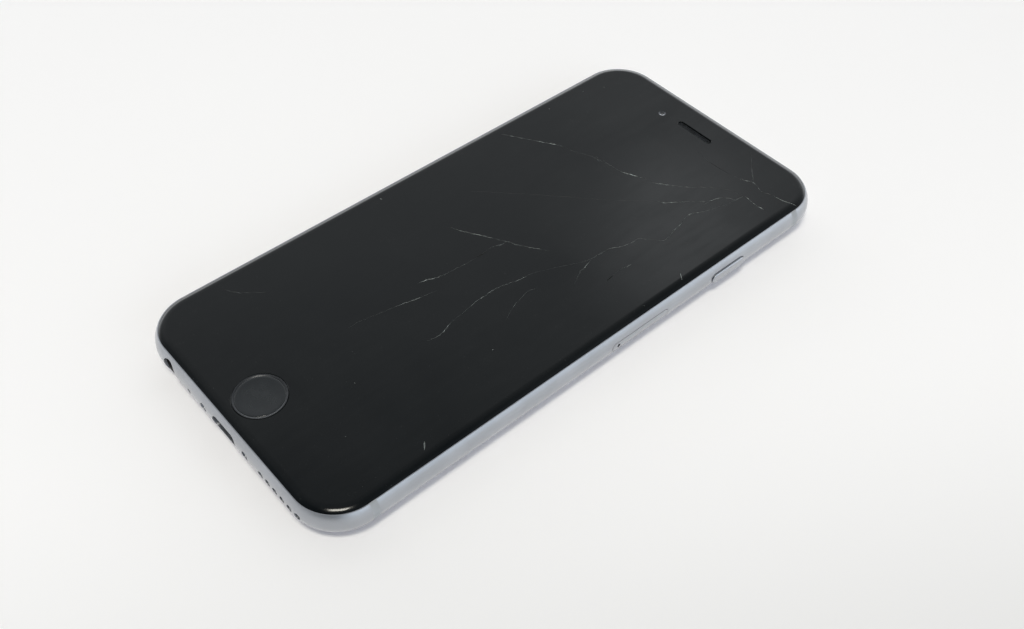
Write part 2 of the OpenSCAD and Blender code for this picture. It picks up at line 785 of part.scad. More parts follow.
module display_plug_bracket() {
    x0 = board_x0 + 0.1;
    x1 = board_x1 - 2;
    y0 = display_plug_y - 1.6;
    y1 = display_plug_y + 1.4;
    leg = 0.4;
    color("#b3b6b8") at_back() {
        block(x0, x1, y0, y1, board_top + plug_h, board_top + plug_h + 0.25);
        for (x = [x0, x1 - leg]) block(x, x + leg, y0, y1, board_top, board_top + plug_h);
    }
}

antenna_top = floor_z + 2.6;

module upper_antenna() {
    color("#cfcabb") at_back()
        block(-bay_x + 3.5, -bay_x + 17, band_y - 0.5, band_y + 5.7, floor_z, antenna_top);
}

module lower_antenna() {
    color("#cfcabb") at_back()
        block(-bay_x + 1.5, -bay_x + 8, -band_y + 1.8, -band_y + 8, floor_z, antenna_top);
}

module vibration_motor() {
    color("#a5a7a9") at_back()
        block(motor_x0, motor_x0 + 10, battery_y0 - 3.2, battery_y0 + 7, floor_z, shield_z - 0.5);
}

// ---- bottom end ----

speaker_x0 = speaker_x - 0.9; // left side of the loudspeaker
speaker_mouth_x = speaker_x + 11.1; // right side of its mouth
speaker_back = 4.4; // distance from the bottom end to its main box
mesh_gap = 0.1; // between the speaker's mesh and the wall
mesh_back = 0.35; // between the mouth and the wall
part_half_h = 1.1; // half the height of the mesh and of the microphone

module loudspeaker() {
    speaker_top = shield_z - 0.2;
    color("#222326") at_back() {
        block(speaker_x0, speaker_x + 13.6, -half_l + speaker_back, -half_l + 16.1, floor_z, speaker_top);
        block(speaker_x0, speaker_mouth_x, -bay_y + mesh_back, -half_l + speaker_back + 0.1,
              floor_z, speaker_top);
    }
}

module speaker_mesh() {
    color("#3d3f42") at_back()
        block(speaker_x0, speaker_mouth_x, -bay_y + mesh_gap, -bay_y + mesh_back,
              socket_z - part_half_h, min(socket_z + part_half_h, shield_z - 0.1));
}

module bottom_microphone() {
    half = 1.7;
    color("#8a8578") at_back()
        block(bottom_mic_x - half, bottom_mic_x + half, -bay_y, -bay_y + 2.2,
              socket_z - part_half_h, socket_z + part_half_h);
}

module charging_port() {
    shell_half_w = port_w / 2 + 0.9;
    shell_bottom = socket_z - 1.35;
    shell_top = home_bracket_z - 0.05; // just under the home button's bracket
    lip_y = -half_l + 0.9;
    lip_gap = 0.05; // between the lip and the housing's opening
    ear_w = 1;
    color("#2c2d30") at_back() {
        difference() {
            union() {
                block(-shell_half_w, shell_half_w, -bay_y, port_y0, shell_bottom, shell_top);
                bottom_end(0, socket_z, -bay_y + tie, lip_y)
                    pill(port_w + 2 * (mouth_gap - lip_gap), port_h + 2 * (mouth_gap - lip_gap));
            }
            bottom_end(0, socket_z, port_y0 - 1, -half_l - 1) pill(port_w, port_h);
        }
        // ears that stand on the back wall
        for (x = [-shell_half_w - ear_w, shell_half_w])
            block(x, x + ear_w, -bay_y + 4.4, port_y0, floor_z, socket_z - 0.8);
    }
}

module port_flex() {
    run_y = battery_y0 - 3.6;
    flex_x0 = flex_x1 - 5;
    flex_top = floor_z + 0.2;
    color("#c98b3c") at_back() {
        block(-4, 4, port_y0, run_y, floor_z, flex_top);
        block(-4, flex_x1, run_y - 2.2, run_y, floor_z, flex_top);
        block(flex_x0, flex_x1, run_y, board_y0 - 0.1, floor_z, flex_top);
        block(flex_x0, flex_x1, board_y0 - 3, board_y0, flex_top, board_top);
    }
}

module headphone_jack() {
    bore_end = -bay_y + jack_l;
    shell_end = bore_end + 0.6;
    foot_half = 2.6;
    color("#26272a") at_back() difference() {
        union() {
            bottom_end(jack_x, socket_z, shell_end, -bay_y) circle(r = jack_shell_r);
            bottom_end(jack_x, socket_z, -bay_y + 1, barrel_y) circle(r = barrel_r);
            block(jack_x - foot_half, jack_x + foot_half, -bay_y, shell_end, floor_z, socket_z);
        }
        bottom_end(jack_x, socket_z, bore_end, -half_l) circle(r = jack_r);
    }
}

module bottom_screws() {
    shank_l = 4;
    head_t = 0.7;
    head_y = -half_l + screw_sink; // where the head meets its seat
    socket_depth = 0.35;
    lobe_r = 0.16;
    color("#777c84") at_back() for (x = [-screw_x, screw_x]) {
        difference() {
            bottom_end(x, socket_z, head_y, head_y - head_t) circle(r = screw_head_r);
            bottom_end(x, socket_z, head_y - head_t + socket_depth, -half_l)
                for (a = [0:72:359]) rotate(a) translate([0.28, 0]) circle(r = lobe_r, $fn = 24);
        }
        bottom_end(x, socket_z, head_y + shank_l, head_y) circle(r = screw_shank_r);
    }
}

board_hole_r = 0.55;

module inner_screws() {
    color("#8c8f92") at_back() for (p = standoff_at) {
        post(p[0], p[1], board_top, board_top + 0.35, 0.9);
        post(p[0], p[1], board_z, board_top, board_hole_r - 0.05);
    }
}

// ---- side controls ----

// A pill-shaped button with a wider flange behind the wall
module side_button(y, length) {
    right_side(y, side_z, bay_x - flange_gap, half_w + button_proud) pill(length, button_h);
    right_side(y, side_z, bay_x - flange_gap - flange_t, bay_x - flange_gap)
        square([length + 2 * flange_wing, button_h - 0.2], center = true);
}

// Two feet on the inner wall carry a plate; each switch has a dome that a button presses
module switch_plate(y0, y1, at) {
    z0 = side_z - 1;
    z1 = min(side_z + 1, shield_z - 0.05);
    foot = 0.8;
    block(plate_x - plate_t, plate_x, y0, y1, z0, z1);
    for (y = [y0, y1 - foot]) block(plate_x, bay_x, y, y + foot, z0, z1);
    for (y = at) {
        block(plate_x, dome_x - dome_t, y - 1.8, y + 1.8, z0, z1);
        right_side(y, side_z, dome_x - dome_t, dome_x) circle(r = 0.9);
    }
}

plate_over = flange_wing + 1.4; // how far a switch plate reaches past its button

module power_button() color("#a3a8b0") at_back() side_button(power_y, power_l);

module power_switch() {
    reach = power_l / 2 + plate_over;
    color("#b3b6b8") at_back() switch_plate(power_y - reach, power_y + reach, [power_y]);
}

module volume_up_button() color("#a3a8b0") at_back() mirror([1, 0, 0]) side_button(volume_up_y, volume_l);

module volume_down_button() color("#a3a8b0") at_back() mirror([1, 0, 0]) side_button(volume_down_y, volume_l);

module volume_switches() {
    reach = volume_l / 2 + plate_over;
    color("#b3b6b8") at_back() mirror([1, 0, 0])
        switch_plate(volume_down_y - reach, volume_up_y + reach, [volume_down_y, volume_up_y]);
}

module ring_switch_lever() {
    lever_z = side_z + ring_travel / 2;
    color("#a3a8b0") at_back() mirror([1, 0, 0]) {
        right_side(ring_y, lever_z, bay_x - flange_gap, half_w + button_proud)
            soft_rect(ring_slot_l - 2 * ring_lever_gap, ring_lever_h, ring_corner_r);
        right_side(ring_y, lever_z, bay_x - flange_gap - flange_t, bay_x - flange_gap)
            square([ring_slot_l + 0.8, ring_lever_h - 0.3], center = true);
    }
}

module ring_switch_base() {
    reach = ring_slot_l / 2 + 1.5;
    z0 = side_z - 1.5;
    z1 = shield_z - 0.1;
    foot = 0.8;
    color("#303236") at_back() mirror([1, 0, 0]) {
        block(plate_x - plate_t, dome_x, ring_y - reach, ring_y + reach, z0, z1);
        for (y = [ring_y - reach, ring_y + reach - foot]) block(dome_x, bay_x, y, y + foot, z0, z1);
    }
}

// ---- card tray ----

module sim_tray() {
    card_l = 12.4;
    card_half = 4.45; // half the width of a card
    shelf = 1; // the rim inside the pocket that a card lies on
    face_x = bay_x + 0.1; // back of the outer face
    x0 = tray_in_x + 1.2;
    x1 = x0 + card_l;
    y = (tray_y0 + tray_y1) / 2;
    color("#9a9ea5") at_back() difference() {
        union() {
            intersection() {
                right_side(tray_y, side_z, face_x, half_w + 1) pill(tray_l, tray_h);
                translate([half_w - corner_r, half_l, 0]) rotate([90, 0, 0])
                    linear_extrude(body_l) side_section(corner_r);
            }
            block(tray_in_x, face_x, tray_y0, tray_y1, side_z - tray_t / 2, side_z + tray_t / 2);
        }
        block(x0, x1, y - card_half, y + card_half, side_z - 0.2, side_z + tray_t);
        block(x0 + shelf, x1 - shelf, y - card_half + shelf, y + card_half - shelf,
              side_z - tray_t, side_z + tray_t);
        right_wall_hole(pin_y) circle(r = pin_r);
    }
}

module sim_reader() {
    base_top = board_top + 0.3;
    tray_low = side_z - tray_t / 2 - 0.05;
    color("#b7babb") at_back() {
        block(reader_x0, reader_x1, reader_y0, reader_y1, board_top, base_top);
        block(reader_x0, reader_x1, reader_y0, reader_y1, reader_top, reader_top + reader_cover_t);
        for (y = [reader_y0, reader_y1 - reader_rail])
            block(reader_x0, reader_x1, y, y + reader_rail, base_top, reader_top);
        for (y = [reader_y0 + reader_rail, reader_y1 - 2 * reader_rail])
            block(reader_x0, reader_x1, y, y + reader_rail, base_top, tray_low);
    }
}

module sim_ejector() {
    rod_r = 0.45;
    lever_w = 2 * rod_r;
    lever_x = tray_in_x - 1.6;
    lever_z = board_top + 0.9;
    color("#c4c6c8") at_back() {
        // push rod in line with the pin hole
        block(lever_x, bay_x - 0.2, pin_y - rod_r, pin_y + rod_r, board_top, side_z + rod_r);
        // lever behind the tray, with its pivot
        block(lever_x, lever_x + lever_w, pin_y + rod_r, tray_y + 2, lever_z, side_z + rod_r);
        post(lever_x + rod_r, tray_y - 2, board_top, lever_z, 0.4);
    }
}

cover_glass();
display_frame();
lcd_panel();
backlight_unit();
display_shield_plate();
display_flex_cables();
home_button_cap();
home_button_ring();
home_button_gasket();
home_button_switch();
home_button_bracket();
earpiece_mesh();
earpiece_speaker();
front_camera();
proximity_sensor();
earpiece_bracket();
housing_top();
housing_middle();
housing_bottom();
antenna_bands();
camera_ring();
camera_window();
rear_camera_module();
rear_camera_lens();
rear_camera_bracket();
flash_window();
flash_led();
rear_microphone();
logic_board();
board_standoffs();
board_shields();
board_chips();
battery();
battery_adhesive_strips();
battery_lead();
battery_lead_bracket();
display_plug_bracket();
upper_antenna();
lower_antenna();
vibration_motor();
loudspeaker();
speaker_mesh();
bottom_microphone();
charging_port();
port_flex();
headphone_jack();
power_button();
power_switch();
volume_up_button();
volume_down_button();
volume_switches();
ring_switch_lever();
ring_switch_base();
sim_tray();
sim_reader();
sim_ejector();
bottom_screws();
inner_screws();
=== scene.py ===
"""Looks of a slim touchscreen phone with a cracked cover glass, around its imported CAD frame."""

import contextlib
import json
import math
import random

import bmesh
import bpy
from mathutils import Matrix, Vector


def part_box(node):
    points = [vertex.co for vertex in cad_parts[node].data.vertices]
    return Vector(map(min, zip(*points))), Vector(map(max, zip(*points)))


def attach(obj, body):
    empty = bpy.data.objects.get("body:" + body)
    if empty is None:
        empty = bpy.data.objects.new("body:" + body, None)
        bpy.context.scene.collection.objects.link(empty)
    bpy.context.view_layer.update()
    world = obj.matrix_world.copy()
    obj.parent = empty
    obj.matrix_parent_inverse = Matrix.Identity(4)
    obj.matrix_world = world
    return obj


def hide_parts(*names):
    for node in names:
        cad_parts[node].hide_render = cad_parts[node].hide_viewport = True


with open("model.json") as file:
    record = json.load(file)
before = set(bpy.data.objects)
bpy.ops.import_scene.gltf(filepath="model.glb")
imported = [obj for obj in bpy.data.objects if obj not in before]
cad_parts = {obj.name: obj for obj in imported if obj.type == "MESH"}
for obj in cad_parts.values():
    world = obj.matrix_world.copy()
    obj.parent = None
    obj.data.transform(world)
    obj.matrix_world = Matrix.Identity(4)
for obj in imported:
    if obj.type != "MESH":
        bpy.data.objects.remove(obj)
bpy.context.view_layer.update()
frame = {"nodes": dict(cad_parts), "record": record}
bpy.ops.object.select_all(action="DESELECT")

MM = 0.001


# ---- modelling by hand ----

def only(piece):
    """Leaves one piece selected and active."""
    bpy.ops.object.select_all(action="DESELECT")
    piece.select_set(True)
    bpy.context.view_layer.objects.active = piece


@contextlib.contextmanager
def editing(piece, kind="FACE", test=lambda element: True):
    """Opens a piece in edit mode with the elements selected that pass the test."""
    only(piece)
    bpy.ops.object.mode_set(mode="EDIT")
    pick(piece, kind, test)
    yield
    bpy.ops.object.mode_set(mode="OBJECT")


def pick(piece, kind, test):
    """Selects vertices, edges or faces of the piece being edited by their place or normal."""
    bpy.ops.mesh.select_mode(type=kind)
    bpy.ops.mesh.select_all(action="DESELECT")
    shape = bmesh.from_edit_mesh(piece.data)
    for element in {"VERT": shape.verts, "EDGE": shape.edges, "FACE": shape.faces}[kind]:
        element.select_set(bool(test(element)))
    shape.select_flush_mode()
    bmesh.update_edit_mesh(piece.data)


def upright(edge):
    """True for an edge along Z."""
    a, b = (v.co for v in edge.verts)
    return (a - b).xy.length < 1e-7


def facing(direction, level=None):
    """A test for the faces that look along a direction, at a level along it if one is given."""
    direction = Vector(direction)

    def test(face):
        if face.normal.dot(direction) < 0.999:
            return False
        return level is None or abs(face.calc_center_median().dot(direction) - level) < 1e-6
    return test


def named(name):
    """Names the piece just added and puts its place and size into its mesh."""
    piece = bpy.context.object
    piece.name = piece.data.name = name
    bpy.ops.object.transform_apply(location=True, rotation=True, scale=True)
    return piece


def block(name, low, high):
    """A box between two corners."""
    low, high = Vector(low), Vector(high)
    bpy.ops.mesh.primitive_cube_add(size=1, location=(low + high) / 2)
    bpy.context.object.scale = high - low
    return named(name)


def lathe(name, centre, profile, sides=96):
    """A solid of revolution about an upright axis: one ring of points extruded from radius to radius."""
    start_r, start_z = profile[0]
    bpy.ops.mesh.primitive_circle_add(vertices=sides, radius=start_r * MM, fill_type="NGON",
                                      location=(centre.x, centre.y, start_z * MM))
    piece = named(name)
    bpy.ops.object.mode_set(mode="EDIT")
    bpy.ops.mesh.select_all(action="SELECT")
    radius, height = start_r, start_z
    for next_r, next_z in profile[1:]:
        if next_r:
            bpy.ops.mesh.extrude_region_move(TRANSFORM_OT_translate={"value": (0, 0, (next_z - height) * MM)})
        else:
            bpy.ops.mesh.extrude_region_move()
            bpy.ops.transform.translate(value=(0, 0, (next_z - height) * MM))
            bpy.ops.mesh.merge(type="CENTER")
            break
        share = next_r / radius
        bpy.ops.transform.resize(value=(share, share, 1),
                                 center_override=(centre.x, centre.y, next_z * MM))
        radius, height = next_r, next_z
    bpy.ops.mesh.select_all(action="SELECT")
    bpy.ops.mesh.normals_make_consistent(inside=False)
    bpy.ops.object.mode_set(mode="OBJECT")
    return piece


def soften(piece, width, segments=3, angle=35):
    """Bevels every sharp edge of a piece."""
    bevel = piece.modifiers.new("soft_edges", "BEVEL")
    bevel.width = width
    bevel.segments = segments
    bevel.limit_method = "ANGLE"
    bevel.angle_limit = math.radians(angle)
    apply(piece, bevel)


def apply(piece, modifier):
    """Turns a modifier into mesh."""
    only(piece)
    bpy.ops.object.modifier_apply(modifier=modifier.name)


def cut(piece, tool, operation="DIFFERENCE"):
    """Cuts a piece with a tool, which is then removed; the new faces take the tool's material."""
    boolean = piece.modifiers.new("cut", "BOOLEAN")
    boolean.operation = operation
    boolean.object = tool
    boolean.solver = "EXACT"
    boolean.material_mode = "TRANSFER"
    apply(piece, boolean)
    bpy.data.objects.remove(tool)


def smooth(piece, angle=30):
    """Smooth shading with sharp creases, and large flat faces kept flat."""
    only(piece)
    bpy.ops.object.shade_smooth_by_angle(angle=math.radians(angle))
    weighted = piece.modifiers.new("flat_faces", "WEIGHTED_NORMAL")
    weighted.keep_sharp = True
    weighted.weight = 100
    apply(piece, weighted)


def join(name, pieces):
    """Makes one object of several."""
    bpy.ops.object.select_all(action="DESELECT")
    for piece in pieces:
        piece.select_set(True)
    bpy.context.view_layer.objects.active = pieces[0]
    bpy.ops.object.join()
    pieces[0].name = pieces[0].data.name = name
    return pieces[0]


def round_over(radius, width, steps):
    """Rounds the selected flat face's border down by an arc, in small insets."""
    start = math.asin(width / radius)
    for i in range(steps):
        a = start * (1 - i / steps)
        b = start * (1 - (i + 1) / steps)
        bpy.ops.mesh.inset(thickness=radius * (math.sin(a) - math.sin(b)),
                           depth=radius * (math.cos(b) - math.cos(a)))


# ---- materials ----

class Wire:
    """A node's output that can stand in a sum: each operator adds a Math node."""

    def __init__(self, paint, socket):
        self.paint = paint
        self.socket = socket

    def math(self, operation, *others):
        return self.paint.sum(operation, self, *others)

    def __add__(self, other):
        return self.math("ADD", other)

    def __radd__(self, other):
        return self.math("ADD", other)

    def __sub__(self, other):
        return self.math("SUBTRACT", other)

    def __rsub__(self, other):
        return self.paint.sum("SUBTRACT", other, self)

    def __mul__(self, other):
        return self.math("MULTIPLY", other)

    def __rmul__(self, other):
        return self.math("MULTIPLY", other)

    def __abs__(self):
        return self.math("ABSOLUTE")

    def ramp(self, low, high):
        """0 below low, 1 above high, and a smooth rise between them."""
        return self.paint.node("ShaderNodeMapRange", {"interpolation_type": "SMOOTHSTEP"},
                               {"Value": self, "From Min": low, "From Max": high})


class Nodes:
    """A node tree that is written as sums of wires."""

    def __init__(self, tree):
        self.tree = tree
        tree.nodes.clear()

    def node(self, kind, settings=None, sockets=None, out=0):
        """Adds a node, sets its settings, fills its sockets with values or wires, and gives one output."""
        made = self.tree.nodes.new(kind)
        for key, value in (settings or {}).items():
            setattr(made, key, value)
        for key, value in (sockets or {}).items():
            self.fill(made.inputs[key], value)
        return Wire(self, made.outputs[out])

    def fill(self, socket, value):
        """Links a wire to a socket, or sets the socket's own value."""
        if isinstance(value, Wire):
            self.tree.links.new(value.socket, socket)
        elif isinstance(value, (tuple, list)) and socket.type == "RGBA":
            socket.default_value = (*value, 1)
        else:
            socket.default_value = value

    def sum(self, operation, *values):
        """One Math node."""
        return self.node("ShaderNodeMath", {"operation": operation}, dict(enumerate(values)))

    def mix(self, mask, below, above):
        """One colour over another."""
        return self.node("ShaderNodeMix", {"data_type": "RGBA"}, {0: mask, 6: below, 7: above}, out=2)

    def split(self, wire):
        """The three parts of a vector."""
        apart = self.node("ShaderNodeSeparateXYZ", None, {0: wire}).socket.node
        return (Wire(self, out) for out in apart.outputs)


class Paint(Nodes):
    """One material; places are in millimetres."""

    def __init__(self, name):
        self.material = bpy.data.materials.new(name)
        self.material.use_nodes = True
        super().__init__(self.material.node_tree)
        coordinates = self.node("ShaderNodeTexCoord", out="Object")
        self.place = self.node("ShaderNodeVectorMath", {"operation": "SCALE"},
                               {0: coordinates, "Scale": 1 / MM})
        self.x, self.y, self.z = self.split(self.place)

    def noise(self, scale, detail=2, stretch=(1, 1, 1), rough=0.5):
        """Noise with a given number of cells to the millimetre."""
        place = self.place
        if stretch != (1, 1, 1):
            place = self.node("ShaderNodeMapping", None, {"Vector": place, "Scale": stretch})
        return self.node("ShaderNodeTexNoise", None, {"Vector": place, "Scale": scale, "Detail": detail,
                                                      "Roughness": rough})

    def far_from(self, x, y):
        """Distance from an upright line, in millimetres."""
        dx = self.x - x
        dy = self.y - y
        return self.sum("SQRT", dx * dx + dy * dy)

    def finish(self, base, roughness, bump=None, depth=0.01, **fixed):
        """Ends the material in one shader; depth is the bump's height in millimetres."""
        shader = self.tree.nodes.new("ShaderNodeBsdfPrincipled")
        self.fill(shader.inputs["Base Color"], base)
        self.fill(shader.inputs["Roughness"], roughness)
        for key, value in fixed.items():
            self.fill(shader.inputs[key.replace("_", " ")], value)
        if bump is not None:
            bumped = self.node("ShaderNodeBump", None, {"Strength": 1.0, "Distance": depth * MM,
                                                        "Height": bump})
            self.tree.links.new(bumped.socket, shader.inputs["Normal"])
        end = self.tree.nodes.new("ShaderNodeOutputMaterial")
        self.tree.links.new(shader.outputs[0], end.inputs["Surface"])
        return self.material


def middle(node):
    """Middle of a CAD node's box."""
    low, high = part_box(node)
    return (low + high) / 2


glass_low, glass_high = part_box("cover_glass")
ear_centre = middle("earpiece_mesh")
selfie_centre = middle("front_camera")
HOME_HOLE = 5.5
SELFIE_HOLE = 0.92
GLASS_TOP = glass_high.z / MM
home_centre = middle("home_button_ring")


def screen_glass():
    """Black glass with a grease haze, wiped streaks and fine dust; the picture area is a shade lighter."""
    paint = Paint("screen_glass")
    panel_low, panel_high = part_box("lcd_panel")
    across = abs(paint.x)
    along = abs(paint.y - (panel_low.y + panel_high.y) / 2 / MM)
    inside_x = 1 - across.ramp(panel_high.x / MM - 0.3, panel_high.x / MM + 0.3)
    half = (panel_high.y - panel_low.y) / 2 / MM
    picture = inside_x * (1 - along.ramp(half - 0.3, half + 0.3))
    clouds = paint.noise(0.05, detail=3).ramp(0.3, 0.75)
    wiped = paint.noise(0.6, detail=4, stretch=(1, 0.16, 1)).ramp(0.35, 0.8)
    dust = paint.noise(5.5, detail=0).ramp(0.80, 0.86) * paint.noise(0.4, detail=1).ramp(0.45, 0.7)
    dark = paint.mix(picture, (0.0030, 0.0042, 0.0052), (0.0036, 0.0050, 0.0060))
    hazy = paint.mix(clouds * 0.5 + wiped * 0.2, dark, (0.0075, 0.0090, 0.0100))
    base = paint.mix(dust * 0.5, hazy, (0.11, 0.12, 0.12))
    return paint.finish(base, 0.09 + 0.07 * clouds + 0.05 * wiped + 0.25 * dust,
                        bump=paint.noise(0.09, detail=1), depth=0.02, IOR=1.36)


def broken_glass():
    """Fracture walls of the glass with painted glints: the deeper and wider a crack, the whiter its walls are
    painted, standing in for light caught by the fracture faces.
    """
    paint = Paint("broken_glass")
    deep = (GLASS_TOP - paint.z).ramp(0.008, 0.07)
    grit_and_glints = paint.noise(2.2, detail=3, rough=0.7).ramp(0.35, 0.62)
    painted_glints = paint.noise(0.9, detail=1).ramp(0.42, 0.6)
    # painted highlight: pale patches on the crack walls stand in for glints of light off the fracture faces
    base = paint.mix(deep * (0.35 + 0.65 * grit_and_glints) * (0.45 + 0.55 * painted_glints), (0.012, 0.014, 0.016),
                     (0.50, 0.55, 0.55))
    return paint.finish(base, 0.32 + 0.2 * grit_and_glints, bump=grit_and_glints, depth=0.03, IOR=1.5)


def painted_crack_shade():
    """Painted shade for the inside of a gaping crack: near-black walls standing in for the darkness where no
    light comes back.
    """
    paint = Paint("painted_crack_shade")
    base = paint.mix(paint.noise(1.5).ramp(0.4, 0.7), (0.001, 0.0012, 0.0014), (0.004, 0.005, 0.005))
    return paint.finish(base, 0.6 + 0.2 * paint.noise(3))


def anodised(name, colour, rough=0.36, blast=9, scuffs=0.35):
    """Bead-blasted, anodised aluminium: an even fine grain, faint cloudiness and a few light rubs."""
    paint = Paint(name)
    clouds = paint.noise(0.12, detail=2)
    grain = paint.noise(blast, detail=2, rough=0.7)
    rubs = paint.noise(1.1, detail=4, stretch=(1, 0.25, 1)).ramp(0.66, 0.8) * scuffs
    shade = tuple(c * 0.9 for c in colour)
    base = paint.mix(clouds.ramp(0.35, 0.7), shade, colour)
    base = paint.mix(grain.ramp(0.3, 0.7) * 0.12, base, tuple(min(1, c * 1.3) for c in colour))
    base = paint.mix(rubs, base, tuple(min(1, c * 1.25) for c in colour))
    return paint.finish(base, rough + 0.06 * clouds - 0.08 * rubs, bump=grain, depth=0.006, Metallic=1.0,
                        Coat_Weight=0.8, Coat_Roughness=0.25)


def moulded(name, colour, rough=0.45, grain=6, depth=0.006, spread=0.12, **fixed):
    """Moulded plastic or rubber with a fine moulded texture and a slight change of shade."""
    paint = Paint(name)
    clouds = paint.noise(0.25, detail=2)
    texture = paint.noise(grain, detail=3)
    base = paint.mix(clouds.ramp(0.3, 0.7), tuple(c * (1 - spread) for c in colour),
                     tuple(min(1, c * (1 + spread)) for c in colour))
    return paint.finish(base, rough + 0.1 * (texture - 0.5), bump=texture, depth=depth, **fixed)


def metal(name, colour, rough=0.3, brush=(1, 1, 1), scale=4, depth=0.003):
    """Bare or plated metal, brushed along one axis where brush says so."""
    paint = Paint(name)
    lines = paint.noise(scale, detail=3, stretch=brush)
    stain = paint.noise(0.3, detail=3).ramp(0.45, 0.75)
    base = paint.mix(stain * 0.6, colour, tuple(c * 0.72 for c in colour))
    return paint.finish(base, rough + 0.12 * (lines - 0.5) + 0.1 * stain, bump=lines, depth=depth,
                        Metallic=1.0)


def circuit_board():
    """Solder mask over copper, with darker tracks and small bright pads."""
    paint = Paint("board_laminate")
    grid = paint.node("ShaderNodeTexBrick", {"offset": 0.5},
                      {"Vector": paint.place, "Scale": 1.0, "Mortar Size": 0.12, "Brick Width": 1.6,
                       "Row Height": 0.55, "Color1": (0.006, 0.03, 0.075), "Color2": (0.009, 0.045, 0.1),
                       "Mortar": (0.012, 0.075, 0.15)})
    pads = paint.node("ShaderNodeTexVoronoi", None, {"Vector": paint.place, "Scale": 0.8}).ramp(0.10, 0.07)
    base = paint.mix(pads, grid, (0.65, 0.52, 0.3))
    return paint.finish(base, 0.35 + 0.15 * paint.noise(1.2), bump=pads, depth=0.02)


def flexible_film():
    """Amber polyimide film with copper runs along it."""
    paint = Paint("flex_film")
    runs = paint.node("ShaderNodeTexWave", {"bands_direction": "X"}, {"Vector": paint.place, "Scale": 0.9,
                                                                      "Distortion": 0.4}, out="Fac")
    base = paint.mix(runs.ramp(0.45, 0.6), (0.20, 0.075, 0.012), (0.36, 0.16, 0.035))
    return paint.finish(base, 0.28 + 0.1 * paint.noise(2), bump=runs, depth=0.01)


def battery_wrap():
    """Matt black pouch film with a faint weave."""
    paint = Paint("battery_wrap")
    weave = paint.node("ShaderNodeTexChecker", None, {"Vector": paint.place, "Scale": 2.5}, out="Fac")
    clouds = paint.noise(0.08, detail=3).ramp(0.3, 0.7)
    base = paint.mix(clouds, (0.018, 0.019, 0.021), (0.028, 0.029, 0.031))
    return paint.finish(base, 0.42 + 0.12 * clouds, bump=weave, depth=0.008)


def coated_lens(name, centre):
    """Dark glass with a faint blue and violet coating that changes with the distance from its centre."""
    paint = Paint(name)
    out = paint.far_from(centre.x / MM, centre.y / MM)
    rings = (out * 3.2).math("SINE").ramp(-0.4, 0.9)
    base = paint.mix(rings * (1 - out.ramp(0.5, 2.6)), (0.003, 0.003, 0.004), (0.012, 0.010, 0.03))
    return paint.finish(base, 0.05 + 0.05 * paint.noise(0.8), IOR=1.7, Coat_Weight=0.4 + 0.1 * rings)


def button_glass():
    """Hard dark glass of the home button, a shade bluer than the screen, with a thumb's haze."""
    paint = Paint("button_glass")
    out = paint.far_from(home_centre.x / MM, home_centre.y / MM)
    thumb = paint.noise(0.35, detail=3).ramp(0.35, 0.7) * (1 - out.ramp(2, 5))
    worn = paint.mix(thumb, (0.0060, 0.0085, 0.0110), (0.0085, 0.0115, 0.0140))
    base = paint.mix(out.ramp(4.5, 4.95) * 0.7, worn, (0.02, 0.023, 0.026))
    return paint.finish(base, 0.2 + 0.12 * thumb, bump=paint.noise(0.5), depth=0.004, IOR=1.56)


def flash_lens():
    """Milky window with fine rings, yellow in the middle."""
    paint = Paint("flash_amber")
    centre = middle("flash_window")
    out = paint.far_from(centre.x / MM, centre.y / MM)
    rings = (out * 14).math("SINE")
    base = paint.mix(out.ramp(0.5, 1.7), (0.80, 0.66, 0.30), (0.78, 0.74, 0.62))
    return paint.finish(base, 0.22 + 0.08 * paint.noise(2), bump=rings, depth=0.02, IOR=1.5)


FINISHES = {
    "screen_glass": screen_glass(),
    "black_frame_plastic": moulded("black_frame_plastic", (0.012, 0.012, 0.013), 0.5),
    "panel_black": moulded("panel_black", (0.006, 0.007, 0.009), 0.25, grain=2, depth=0.002),
    "diffuser_white": moulded("diffuser_white", (0.70, 0.72, 0.70), 0.55, grain=3),
    "bare_steel": metal("bare_steel", (0.45, 0.46, 0.47), 0.32, brush=(1, 0.08, 1)),
    "flex_film": flexible_film(),
    "button_glass": button_glass(),
    "dark_trim_metal": anodised("dark_trim_metal", (0.030, 0.033, 0.038), 0.45, scuffs=0.6),
    "black_rubber": moulded("black_rubber", (0.011, 0.011, 0.011), 0.75),
    "dark_mesh": metal("dark_mesh", (0.075, 0.08, 0.085), 0.45),
    "module_plastic": moulded("module_plastic", (0.022, 0.022, 0.024), 0.5),
    "lens_black": moulded("lens_black", (0.010, 0.010, 0.012), 0.3),
    "grey_aluminium": anodised("grey_aluminium", (0.405, 0.425, 0.46), 0.32),
    "band_plastic": moulded("band_plastic", (0.34, 0.355, 0.38), 0.42),
    "polished_trim": metal("polished_trim", (0.15, 0.155, 0.165), 0.1, scale=8, depth=0.001),
    "lens_window": coated_lens("lens_window", middle("camera_window")),
    "flash_amber": flash_lens(),
    "board_laminate": circuit_board(),
    "brass_plated": metal("brass_plated", (0.72, 0.52, 0.24), 0.25),
    "chip_black": moulded("chip_black", (0.014, 0.014, 0.015), 0.55, grain=9),
    "battery_wrap": battery_wrap(),
    "white_adhesive": moulded("white_adhesive", (0.72, 0.72, 0.68), 0.6),
    "antenna_plastic": moulded("antenna_plastic", (0.46, 0.43, 0.36), 0.5),
    "socket_plastic": moulded("socket_plastic", (0.016, 0.016, 0.018), 0.45),
    "button_aluminium": anodised("button_aluminium", (0.42, 0.44, 0.475), 0.33),
    "tray_aluminium": anodised("tray_aluminium", (0.41, 0.43, 0.465), 0.35),
    "screw_steel": metal("screw_steel", (0.33, 0.34, 0.36), 0.28, scale=9),
}
BROKEN = broken_glass()
CRACK_SHADE = painted_crack_shade()


